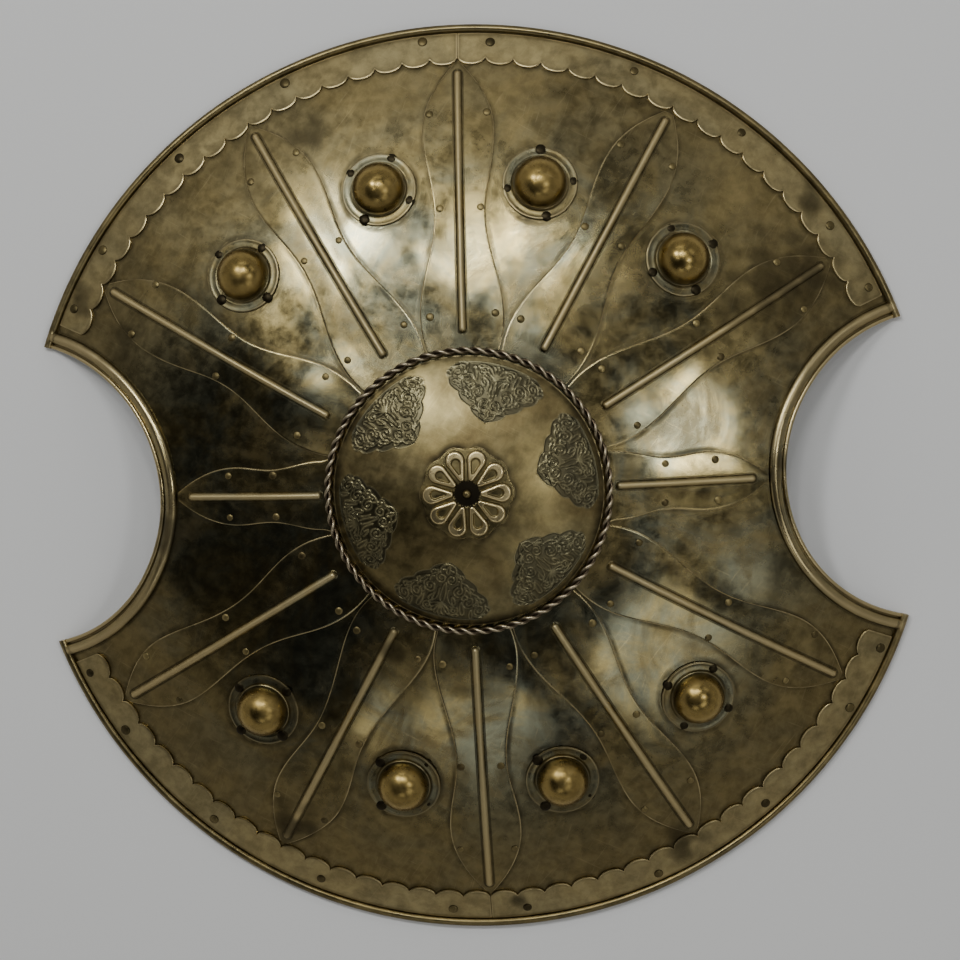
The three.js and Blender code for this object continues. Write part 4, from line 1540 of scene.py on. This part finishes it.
def make_strap_rivets(name, half_span, width, placement):
    """Two rivets through each foot, seen on the foot's outer face"""
    strap, stud = settings().shield_straps, settings().shield_studs
    middle = half_span + strap.foot * STRAP_RIVET_ALONG
    points = [
        (x, side * middle, -strap.thickness)
        for side in (-1, 1)
        for x in (-width * STRAP_RIVET_ACROSS, width * STRAP_RIVET_ACROSS)
    ]
    scales = {"head_scale": np.full(len(points), STRAP_RIVET_SCALE)}
    seed = seed_points(name, points, np.tile([0.0, 0.0, -1.0], len(points)), scales)
    material = rivet_finish()
    values = {"Radius": stud.rivet, "Height": 2 * stud.rivet_height, "Seed": 9}
    piece = grow(seed, rivet_tree(), values, material)
    piece.data.transform(placement)
    finish_piece(piece, material)


# Shader node groups shared by the finishes

def shader_group(name, inputs, outputs, build):
    """The shared shader group of a name, built when it is first asked for"""
    tree = bpy.data.node_groups.get(name)
    if tree is None:
        tree = bpy.data.node_groups.new(name, "ShaderNodeTree")
        add_inputs(tree, inputs)
        for label in outputs:
            tree.interface.new_socket(label, in_out="OUTPUT", socket_type="NodeSocketFloat")
        build(tree, tree.nodes.new("NodeGroupInput").outputs, tree.nodes.new("NodeGroupOutput").inputs)
    return tree


def noise(tree, vector, scale, detail=4.0, roughness=0.55, distortion=0.0):
    values = {
        "Vector": vector, "Scale": scale, "Detail": detail, "Roughness": roughness, "Distortion": distortion,
    }
    return node(tree, "ShaderNodeTexNoise", values).outputs["Fac"]


def spread(tree, value, low, high, to_low=0.0, to_high=1.0):
    values = {0: value, 1: low, 2: high, 3: to_low, 4: to_high}
    return node(tree, "ShaderNodeMapRange", values, interpolation_type="SMOOTHSTEP").outputs[0]


def mixed(tree, share, first, second, blend="MIX"):
    values = {0: share, 6: first, 7: second}
    return node(tree, "ShaderNodeMix", values, data_type="RGBA", blend_type=blend).outputs[2]


def attribute(tree, name):
    return node(tree, "ShaderNodeAttribute", attribute_name=name).outputs["Fac"]


def placed_group(tree, group, values):
    return node(tree, "ShaderNodeGroup", values, node_tree=group).outputs


def solid_colour(value, tone=1.0):
    return (*(min(1.0, channel * tone) for channel in value), 1.0)


def build_patina(tree, given, result):
    vector, clouds, fine = given["Vector"], given["Cloud Scale"], given["Mottle Scale"]
    shifted = node(tree, "ShaderNodeVectorMath", {0: vector, 1: (3.1, 1.7, 0.4)}, operation="ADD").outputs[0]
    olive = noise(tree, vector, clouds, 7.0, 0.66, 0.8)
    brown = noise(tree, shifted, clouds, 7.0, 0.64, 1.2)
    spots = noise(tree, shifted, fine, 2.0, 0.5, 0.4)
    mottle = noise(tree, vector, fine, 6.0, 0.65, 0.2)
    tree.links.new(spread(tree, olive, 0.38, 0.62), result["Olive"])
    tree.links.new(spread(tree, brown, 0.40, 0.70), result["Brown"])
    tree.links.new(spread(tree, spots, 0.70, 0.80), result["Spots"])
    tree.links.new(mottle, result["Mottle"])


def patina(tree, place, cloud_scale, mottle_scale=90.0):
    """Clouds of olive and brown patina, with small spots and a fine mottle"""
    inputs = [
        ("Vector", "NodeSocketVector", None),
        ("Cloud Scale", "NodeSocketFloat", 9.0),
        ("Mottle Scale", "NodeSocketFloat", 90.0),
    ]
    group = shader_group("Cloudy patina", inputs, ("Olive", "Brown", "Spots", "Mottle"), build_patina)
    return placed_group(
        tree, group, {"Vector": place, "Cloud Scale": cloud_scale, "Mottle Scale": mottle_scale}
    )


# The ways that the rubbing marks run: their turn about Z, and how much finer they are across
MARK_WAYS = (
    (0.5, (34.0, 900.0, 34.0)),
    (-0.9, (26.0, 700.0, 26.0)),
    (1.9, (44.0, 1100.0, 44.0)),
)


def build_marks(tree, given, result):
    layers = []
    for turn, stretch in MARK_WAYS:
        turned = node(tree, "ShaderNodeMapping", {"Vector": given["Vector"], "Rotation": (0.0, 0.0, turn)})
        place = node(tree, "ShaderNodeMapping", {"Vector": turned.outputs[0], "Scale": stretch})
        layers.append(noise(tree, place.outputs[0], 1.0, 2.0, 0.5, 0.6))
    every = most(tree, most(tree, layers[0], layers[1]), layers[2])
    tree.links.new(spread(tree, every, 0.62, 0.78), result["Mask"])


def rubbing_marks(tree, place):
    """Where fine rubbing marks run, in three directions"""
    group = shader_group("Rubbing marks", [("Vector", "NodeSocketVector", None)], ("Mask",), build_marks)
    return placed_group(tree, group, {"Vector": place})["Mask"]


def build_edge_wear_and_light(tree, given, result):
    # Each edge gets a pale line of wear with a painted highlight, and a darker band of dirt with painted
    # shade
    patchy = noise(tree, given["Vector"], 38.0, 3.0, 0.6, 0.5)
    patches = {"Burnish": (0.38, 0.55, 0.25, 1.0), "Grime": (0.35, 0.62, 0.35, 1.0)}
    for key, patch in patches.items():
        far = math_node(tree, "DIVIDE", given["Distance"], given[key + " Width"])
        near = math_node(tree, "SUBTRACT", 1.0, far, clamp=True)
        tree.links.new(times(tree, near, spread(tree, patchy, *patch)), result[key])


def edge_wear_and_light(tree, place, burnish_width, grime_width):
    """A pale line of wear with a painted highlight, and dark dirt with painted shade, beside an edge, from
    the distance to it in metres
    """
    inputs = [
        ("Distance", "NodeSocketFloat", 1.0),
        ("Vector", "NodeSocketVector", None),
        ("Burnish Width", "NodeSocketFloat", 0.0012),
        ("Grime Width", "NodeSocketFloat", 0.006),
    ]
    group = shader_group("Edge wear", inputs, ("Burnish", "Grime"), build_edge_wear_and_light)
    values = {
        "Distance": attribute(tree, "edge"), "Vector": place, "Burnish Width": burnish_width,
        "Grime Width": grime_width,
    }
    return placed_group(tree, group, values)


# Finishes

GOLDEN_ROUGHNESS = 0.21
RIDGE_SATIN = 0.42
BROWN_ROUGHNESS = 0.13
DIRT_ROUGHNESS = 0.2
RUBBING_AND_HIGHLIGHT = 0.85
STAINING = 0.85
PANEL_OLIVE = 0.35
PANEL_INK = 0.6
DENT_SCALE = 30.0
DENT_HEIGHT = 3.0
MOTTLE_HEIGHT = 0.35
BRASS_BUMP = (0.035, 0.0006)
# The dish is duller and browner near its rim: distances from the centre, and how much
WEATHERED_FROM = (0.20, 0.31)
WEATHERED_BROWN = 0.55
WEATHERED_OLIVE = 0.6
WEATHERED_ROUGHNESS = 0.12


def material_named(name, paint):
    """The material of a name, painted when it is first asked for"""
    material = bpy.data.materials.get(name)
    if material is None:
        material = bpy.data.materials.new(name)
        material.use_nodes = True
        tree = material.node_tree
        place = tree.nodes.new("ShaderNodeTexCoord").outputs["Object"]
        paint(tree, tree.nodes["Principled BSDF"], place)
    return material


def raise_grain(tree, shader, height, strength, distance):
    bump = node(tree, "ShaderNodeBump", {"Strength": strength, "Distance": distance, "Height": height})
    tree.links.new(bump.outputs[0], shader.inputs["Normal"])


class BrassLook:
    """How a brass finish looks: the plain values, apart from those given"""

    PLAIN = dict(
        base="brass", tone=1.0, rubbed_tone=1.0, cloud_scale=8.0, olive=0.8, brown=0.7, spots=0.1, marks=0.15,
        grime=0.8, grime_width=0.006, burnish=0.6, burnish_width=0.0012, rough=(0.14, 0.22),
        crease=False, inked=False, golden=False, weathered=False,
    )

    def __init__(self, **looks):
        for key, value in {**self.PLAIN, **looks}.items():
            setattr(self, key, value)


class BrassPaint:
    """Patinated, hand-worn brass with painted highlights and painted shade, mixed for one look"""

    def __init__(self, look, tree, place):
        self.look, self.tree = look, tree
        self.colours = settings().shield_colours
        self.patina = patina(tree, place, look.cloud_scale)
        self.marks = rubbing_marks(tree, place)
        self.wear = edge_wear_and_light(tree, place, look.burnish_width, look.grime_width)
        # Raised crests, beads and rims are painted pale, for wear and as a painted highlight
        self.rubbed = times(tree, attribute(tree, "rubbed"), RUBBING_AND_HIGHLIGHT)
        self.dark = self.darkness()
        if look.weathered:
            from_centre = node(tree, "ShaderNodeVectorMath", {0: place}, operation="LENGTH")
            self.weather = spread(tree, from_centre.outputs["Value"], *WEATHERED_FROM)

    def darkness(self):
        """How dark the stains and spots are, with the dirt and painted shade beside edges and the painted
        shade in creases
        """
        tree, look = self.tree, self.look
        dark = times(tree, attribute(tree, "stain"), STAINING)
        dark = most(tree, dark, times(tree, self.patina["Spots"], look.spots))
        outside_burnish_and_highlight = math_node(tree, "SUBTRACT", 1.0, self.wear["Burnish"], clamp=True)
        grime = times(tree, times(tree, self.wear["Grime"], look.grime), outside_burnish_and_highlight)
        dark = most(tree, dark, grime)
        if look.crease:
            # Painted shade along the foot of a leaf's ridge
            dark = most(tree, dark, spread(tree, attribute(tree, "crease"), 0.0001, 0.0009, 0.7, 0.0))
        return dark

    def metal(self):
        """Bare brass under clouds of patina, with a fine mottle"""
        tree, look, colours = self.tree, self.look, self.colours
        olive = times(tree, self.patina["Olive"], look.olive)
        brown = times(tree, self.patina["Brown"], look.brown)
        if look.weathered:
            brown = most(tree, brown, times(tree, self.weather, WEATHERED_BROWN))
            less_olive = math_node(tree, "MULTIPLY_ADD", self.weather, -WEATHERED_OLIVE, 1.0)
            olive = times(tree, olive, less_olive)
        bare = solid_colour(getattr(colours, look.base), look.tone)
        colour = mixed(tree, olive, bare, solid_colour(colours.olive))
        colour = mixed(tree, brown, colour, solid_colour(colours.brown))
        if look.golden:
            colour = mixed(tree, attribute(tree, "golden"), colour, solid_colour(colours.gold_brass))
        mottle = spread(tree, self.patina["Mottle"], 0.3, 0.7, 0.72, 1.18)
        shade = node(tree, "ShaderNodeCombineColor", {0: mottle, 1: mottle, 2: mottle})
        return mixed(tree, 1.0, colour, shade.outputs[0], "MULTIPLY")

    def colour(self):
        """The metal, pale where it is worn and painted with a highlight, and dark at stains and dirt and in
        painted shade
        """
        tree, look, colours = self.tree, self.look, self.colours
        bright = most(tree, self.rubbed, times(tree, self.wear["Burnish"], look.burnish))
        bright = most(tree, bright, times(tree, self.marks, look.marks))
        colour = mixed(tree, bright, self.metal(), solid_colour(colours.pale_brass, look.rubbed_tone))
        colour = mixed(tree, self.dark, colour, solid_colour(colours.stain))
        if look.inked:
            panel = times(tree, attribute(tree, "panel"), PANEL_OLIVE)
            colour = mixed(tree, panel, colour, solid_colour(colours.olive))
            inked = times(tree, attribute(tree, "inked"), PANEL_INK)
            colour = mixed(tree, inked, colour, solid_colour(colours.stain))
        return colour

    def roughness(self):
        tree, look = self.tree, self.look
        low, high = look.rough
        rough = spread(tree, self.patina["Mottle"], 0.25, 0.75, low, high)
        layers = [(self.patina["Brown"], BROWN_ROUGHNESS)]
        if look.golden:
            layers.append((attribute(tree, "golden"), GOLDEN_ROUGHNESS - low))
        if look.weathered:
            layers.append((self.weather, WEATHERED_ROUGHNESS))
        if look.crease:
            layers.append((self.rubbed, RIDGE_SATIN))
        layers.append((self.dark, DIRT_ROUGHNESS))
        for share, rougher in layers:
            rough = math_node(tree, "MULTIPLY_ADD", share, rougher, rough)
        return rough


def paint_brass(look, tree, shader, place):
    paint = BrassPaint(look, tree, place)
    feed(tree, shader.inputs["Base Color"], paint.colour())
    feed(tree, shader.inputs["Roughness"], paint.roughness())
    feed(tree, shader.inputs["Metallic"], 1.0)
    dents = noise(tree, place, DENT_SCALE, 2.0, 0.45)
    mottle = times(tree, paint.patina["Mottle"], MOTTLE_HEIGHT)
    height = math_node(tree, "MULTIPLY_ADD", dents, DENT_HEIGHT, mottle)
    raise_grain(tree, shader, height, *BRASS_BUMP)


def brass(name, **looks):
    return material_named(name, partial(paint_brass, BrassLook(**looks)))


# The field gets dirt and painted shade beside the plates, the rope, the notches' grooves and the lip
def field_finish():
    return brass(
        "field_patina", weathered=True, olive=0.8, brown=0.7, cloud_scale=13.0, burnish=0.0, grime=0.95,
        grime_width=0.004,
    )


# The strips get a pale edge of wear with a painted highlight, and dirt with painted shade beside their edges
def edging_finish():
    return brass(
        "edging_patina", base="edging", olive=0.2, brown=0.3, cloud_scale=12.0, grime=0.5, grime_width=0.003,
        rough=(0.27, 0.36), burnish=0.95, burnish_width=0.0014,
    )


# Leaves get a pale edge of wear with a painted highlight, dirt with painted shade beside it, and painted
# shade at the ridge's foot
def leaf_finish():
    return brass(
        "leaf_patina", weathered=True, olive=0.75, brown=0.6, cloud_scale=14.0, crease=True, grime=0.35,
        grime_width=0.003, burnish=0.9, burnish_width=0.0012,
    )


# Studs get dirt and painted shadow round the dome's foot and at the flange's edge, and a gold that fades out
# towards the dome's foot as painted shade
def stud_finish():
    return brass(
        "stud_polish", olive=0.6, brown=0.6, tone=0.65, rough=(0.22, 0.32), cloud_scale=24.0,
        grime_width=0.0028, golden=True,
    )


# The boss gets a pale edge of wear with a painted highlight, and dirt with painted shade beside the rope and
# round the rosette
def boss_finish():
    return brass(
        "boss_satin", olive=0.2, brown=0.9, cloud_scale=10.0, inked=True, marks=0.12, rough=(0.26, 0.36),
        grime=1.0, grime_width=0.008,
    )


# The rosette is toned lighter and its crests paler still, for wear and as a painted highlight, with dirt and
# painted shade in its creases
def rosette_finish():
    return brass(
        "rosette_satin", rubbed_tone=1.35, olive=0.2, brown=0.3, tone=1.25, cloud_scale=30.0, grime=1.0,
        grime_width=0.0016, rough=(0.22, 0.30), burnish=0.0,
    )


def paint_wire(tree, shader, place):
    """Blackened wire, painted bright on the outer side of each wire, for worn crests and as a painted
    highlight
    """
    colours = settings().shield_colours
    clouds = patina(tree, place, 30.0, 300.0)
    crest = spread(tree, attribute(tree, "crest"), 0.45, 0.95)
    # Bright on the crests, for wear and as a painted highlight
    worn = times(tree, crest, spread(tree, clouds["Mottle"], 0.3, 0.6, 0.6, 1.0))
    colour = mixed(tree, worn, solid_colour(colours.wire), solid_colour(colours.rubbed_and_highlit_wire))
    feed(tree, shader.inputs["Base Color"], colour)
    feed(tree, shader.inputs["Roughness"], spread(tree, clouds["Mottle"], 0.3, 0.7, 0.26, 0.42))
    feed(tree, shader.inputs["Metallic"], 1.0)
    raise_grain(tree, shader, clouds["Mottle"], 0.15, 0.0003)


def paint_rivets(tree, shader, place):
    """Small flush rivets, each head darkened towards its rim and by dirt"""
    colours = settings().shield_colours
    clouds = patina(tree, place, 14.0, 260.0)
    marks = rubbing_marks(tree, place)
    # Darker towards the rim of each head
    ring = spread(tree, attribute(tree, "rim"), 0.78, 0.98, 0.0, 0.95)
    colour = mixed(tree, clouds["Brown"], solid_colour(colours.brass), solid_colour(colours.brown))
    colour = mixed(tree, times(tree, marks, 0.3), colour, solid_colour(colours.pale_brass))
    darkening = most(tree, ring, times(tree, clouds["Olive"], 0.35))
    darkening = most(tree, darkening, times(tree, attribute(tree, "dirt"), 0.95))
    feed(tree, shader.inputs["Base Color"], mixed(tree, darkening, colour, solid_colour(colours.stain)))
    feed(tree, shader.inputs["Roughness"], spread(tree, clouds["Mottle"], 0.3, 0.7, 0.34, 0.5))
    feed(tree, shader.inputs["Metallic"], 1.0)


def paint_leather(tree, shader, place):
    """Waxed leather with a fine grain and darkened edges"""
    leather = settings().shield_colours.leather
    wear = edge_wear_and_light(tree, place, 0.0006, 0.004)
    clouds = patina(tree, place, 22.0, 400.0)
    grain = node(
        tree, "ShaderNodeTexVoronoi", {"Vector": place, "Scale": 900.0}, feature="DISTANCE_TO_EDGE"
    ).outputs["Distance"]
    dark, light = solid_colour(leather, 0.35), solid_colour(leather, 1.9)
    colour = mixed(tree, clouds["Olive"], solid_colour(leather), light)
    colour = mixed(tree, wear["Grime"], colour, dark)
    colour = mixed(tree, spread(tree, grain, 0.0, 0.12, 0.55, 0.0), colour, dark)
    feed(tree, shader.inputs["Base Color"], colour)
    feed(tree, shader.inputs["Roughness"], spread(tree, clouds["Mottle"], 0.3, 0.7, 0.42, 0.62))
    raise_grain(tree, shader, grain, 0.35, 0.0004)


def paint_thread(tree, shader, place):
    """Waxed linen thread"""
    thread = settings().shield_colours.thread
    twist = noise(tree, place, 1600.0, 2.0)
    colour = mixed(tree, spread(tree, twist, 0.35, 0.65), solid_colour(thread, 0.5), solid_colour(thread))
    feed(tree, shader.inputs["Base Color"], colour)
    feed(tree, shader.inputs["Roughness"], spread(tree, twist, 0.3, 0.7, 0.6, 0.8))


def paint_floor(tree, shader, place):
    floor = settings().shield_colours.floor
    shade = mixed(tree, noise(tree, place, 3.0, 3.0), solid_colour(floor), solid_colour(floor, FLOOR_SHADE))
    feed(tree, shader.inputs["Base Color"], shade)
    feed(tree, shader.inputs["Roughness"], FLOOR_ROUGHNESS)


def wire_finish():
    return material_named("blackened_wire", paint_wire)


def rivet_finish():
    return material_named("rivet_dirt", paint_rivets)


def leather_finish():
    return material_named("waxed_leather", paint_leather)


def thread_finish():
    return material_named("waxed_thread", paint_thread)


# Stage

# Fitted to the photograph: place in metres, turn in degrees, lens, sensor and clipping
CAMERA_PLACE = (0.1745, 0.2642, 2.7820)
CAMERA_TURN = (-5.552, 3.299, -2.252)
CAMERA_LENS = 135.7
SENSOR = 36.0
CLIPPING = (0.05, 60.0)
FLOOR_REACH = 14.0
FLOOR_SHADE = 0.97
FLOOR_ROUGHNESS = 0.85


def make_camera():
    data = bpy.data.cameras.new("camera")
    data.lens = CAMERA_LENS
    data.sensor_width = SENSOR
    data.clip_start, data.clip_end = CLIPPING
    camera = bpy.data.objects.new("camera", data)
    camera.location = CAMERA_PLACE
    camera.rotation_euler = Euler([math.radians(turn) for turn in CAMERA_TURN], "XYZ")
    bpy.context.scene.collection.objects.link(camera)
    bpy.context.scene.camera = camera


def make_floor():
    corners = [(x * FLOOR_REACH, y * FLOOR_REACH, 0) for x, y in ((-1, -1), (1, -1), (1, 1), (-1, 1))]
    floor = mesh_object("floor", corners, [[0, 1, 2, 3]])
    floor.data.materials.append(material_named("studio_floor", paint_floor))


SOFT_BOXES = (
    # name, azimuth from +X and angle off the vertical in degrees, distance, size, power
    ("key", 126.0, 38.5, 3.0, (0.34, 0.48), 18.0),
    ("top_left", 100.0, 28.5, 3.0, (0.22, 0.36), 8.5),
    ("top", 84.0, 31.0, 3.0, (0.2, 0.3), 7.0),
    ("near_rope", 71.0, 20.0, 3.0, (0.2, 0.22), 1.2),
    ("near_left", 143.0, 22.0, 3.0, (0.25, 0.25), 2.4),
    ("near_right", 61.0, 31.0, 3.0, (0.2, 0.25), 2.2),
    ("right", 4.0, 28.0, 3.0, (0.32, 0.4), 7.5),
    ("low_right", 312.0, 38.0, 3.2, (1.2, 0.8), 5.5),
    ("low", 262.0, 42.0, 3.2, (1.0, 0.6), 2.5),
    ("rim_top", 95.0, 56.0, 3.2, (1.5, 0.4), 3.6),
    ("rim_right", 42.0, 52.0, 3.2, (1.2, 0.6), 2.6),
    ("rim_left", 146.0, 52.0, 3.2, (0.9, 0.5), 0.6),
)
SOFT_BOX_COLOUR = (0.97, 0.99, 1.0)
# The studio's dim walls: their light, the light of the ceiling, and the heights between which it fades
WALL_LIGHT = 0.36
SKY_LIGHT = 0.03
WALL_TOP = 42.0
WALL_FULL = 30.0
WALL_COLOUR = (1.0, 0.99, 0.97, 1.0)


def make_lights():
    middle = Vector((0.0, 0.0, CAD_BOX[1].z / 2))
    for name, azimuth, off_vertical, distance, size, power in SOFT_BOXES:
        data = bpy.data.lights.new(name, "AREA")
        data.shape = "RECTANGLE"
        data.size, data.size_y = size
        data.energy = power
        data.color = SOFT_BOX_COLOUR
        a, e = math.radians(azimuth), math.radians(off_vertical)
        way = Vector((math.cos(a) * math.sin(e), math.sin(a) * math.sin(e), math.cos(e)))
        light = bpy.data.objects.new(name, data)
        light.location = middle + way * distance
        light.rotation_euler = way.to_track_quat("Z", "Y").to_euler()
        bpy.context.scene.collection.objects.link(light)


def make_walls():
    """Dim pale walls round the studio, which fade into a dark ceiling"""
    world = bpy.data.worlds.new("studio")
    world.use_nodes = True
    tree = world.node_tree
    way = tree.nodes.new("ShaderNodeTexCoord").outputs["Generated"]
    parts = node(tree, "ShaderNodeSeparateXYZ", {0: way})
    full, top = (math.sin(math.radians(angle)) for angle in (WALL_FULL, WALL_TOP))
    background = tree.nodes["Background"]
    strength = spread(tree, parts.outputs["Z"], full, top, WALL_LIGHT, SKY_LIGHT)
    feed(tree, background.inputs["Color"], WALL_COLOUR)
    feed(tree, background.inputs["Strength"], strength)
    bpy.context.scene.world = world


# Operators, panel and registration

class SHIELD_OT_add_stage(bpy.types.Operator):
    """Add the camera, floor and lights"""

    bl_idname = "shield.add_stage"
    bl_label = "Stage"
    bl_options = {"REGISTER", "UNDO"}

    def execute(self, context):
        make_camera()
        make_floor()
        make_lights()
        make_walls()
        return {"FINISHED"}


class SHIELD_OT_add_dish(bpy.types.Operator):
    """Add the beaten dish with its lip and notches"""

    bl_idname = "shield.add_dish"
    bl_label = "Dish"
    bl_options = {"REGISTER", "UNDO"}

    def execute(self, context):
        make_dish()
        return {"FINISHED"}


class SHIELD_OT_add_bands(bpy.types.Operator):
    """Add the four scalloped strips"""

    bl_idname = "shield.add_bands"
    bl_label = "Edging Strips"
    bl_options = {"REGISTER", "UNDO"}

    def execute(self, context):
        for name, quarter in BAND_QUARTERS.items():
            make_band(name, quarter)
        return {"FINISHED"}


class SHIELD_OT_add_leaves(bpy.types.Operator):
    """Add the twelve ridged leaves"""

    bl_idname = "shield.add_leaves"
    bl_label = "Leaves"
    bl_options = {"REGISTER", "UNDO"}

    def execute(self, context):
        for hour in range(1, LEAF_COUNT + 1):
            make_leaf(hour)
        return {"FINISHED"}


class SHIELD_OT_add_studs(bpy.types.Operator):
    """Add the eight domed studs"""

    bl_idname = "shield.add_studs"
    bl_label = "Studs"
    bl_options = {"REGISTER", "UNDO"}

    def execute(self, context):
        for index, hour in enumerate(STUD_HOURS, 1):
            make_stud(index, hour)
        return {"FINISHED"}


class SHIELD_OT_add_boss(bpy.types.Operator):
    """Add the centre boss with its chased panels"""

    bl_idname = "shield.add_boss"
    bl_label = "Centre Boss"
    bl_options = {"REGISTER", "UNDO"}

    def execute(self, context):
        make_centre_boss()
        return {"FINISHED"}


class SHIELD_OT_add_rosette(bpy.types.Operator):
    """Add the rosette and its stud"""

    bl_idname = "shield.add_rosette"
    bl_label = "Rosette"
    bl_options = {"REGISTER", "UNDO"}

    def execute(self, context):
        make_rosette()
        make_rosette_stud()
        return {"FINISHED"}


class SHIELD_OT_add_rope(bpy.types.Operator):
    """Add the rope of twisted wire"""

    bl_idname = "shield.add_rope"
    bl_label = "Rope"
    bl_options = {"REGISTER", "UNDO"}

    def execute(self, context):
        make_rope()
        return {"FINISHED"}


class SHIELD_OT_add_rivets(bpy.types.Operator):
    """Add the rivets of the plates and studs"""

    bl_idname = "shield.add_rivets"
    bl_label = "Rivets"
    bl_options = {"REGISTER", "UNDO"}

    def execute(self, context):
        make_rivets()
        return {"FINISHED"}


class SHIELD_OT_add_straps(bpy.types.Operator):
    """Add the arm band and hand grip"""

    bl_idname = "shield.add_straps"
    bl_label = "Straps"
    bl_options = {"REGISTER", "UNDO"}

    def execute(self, context):
        make_strap("arm_band", False)
        make_strap("hand_grip", True)
        return {"FINISHED"}


OPERATORS = (
    SHIELD_OT_add_stage, SHIELD_OT_add_dish, SHIELD_OT_add_bands, SHIELD_OT_add_leaves, SHIELD_OT_add_studs,
    SHIELD_OT_add_boss, SHIELD_OT_add_rosette, SHIELD_OT_add_rope, SHIELD_OT_add_rivets, SHIELD_OT_add_straps,
)


class SHIELD_PT_pieces(bpy.types.Panel):
    """Lists the shield's pieces and sizes"""

    bl_label = "Shield"
    bl_idname = "SHIELD_PT_pieces"
    bl_space_type = "VIEW_3D"
    bl_region_type = "UI"
    bl_category = "Shield"

    def draw(self, context):
        for operator in OPERATORS:
            self.layout.operator(operator.bl_idname)
        for key in PROPERTY_GROUPS:
            box = self.layout.box()
            group = getattr(context.scene, key)
            for prop in group.bl_rna.properties:
                if prop.identifier not in ("name", "rna_type"):
                    box.prop(group, prop.identifier)


PROPERTY_GROUPS = {
    "shield_dish": DishSizes,
    "shield_plates": PlateSizes,
    "shield_studs": StudSizes,
    "shield_boss": BossSizes,
    "shield_straps": StrapSizes,
    "shield_colours": ShieldColours,
}


def register():
    for cls in (*PROPERTY_GROUPS.values(), *OPERATORS, SHIELD_PT_pieces):
        bpy.utils.register_class(cls)
    for key, cls in PROPERTY_GROUPS.items():
        setattr(bpy.types.Scene, key, PointerProperty(type=cls))


def unregister():
    for key in PROPERTY_GROUPS:
        delattr(bpy.types.Scene, key)
    for cls in (SHIELD_PT_pieces, *reversed(OPERATORS), *reversed(PROPERTY_GROUPS.values())):
        bpy.utils.unregister_class(cls)


def main():
    register()
    for operator in OPERATORS:
        getattr(bpy.ops.shield, operator.bl_idname.split(".")[1])()


if __name__ == "__main__":
    main()
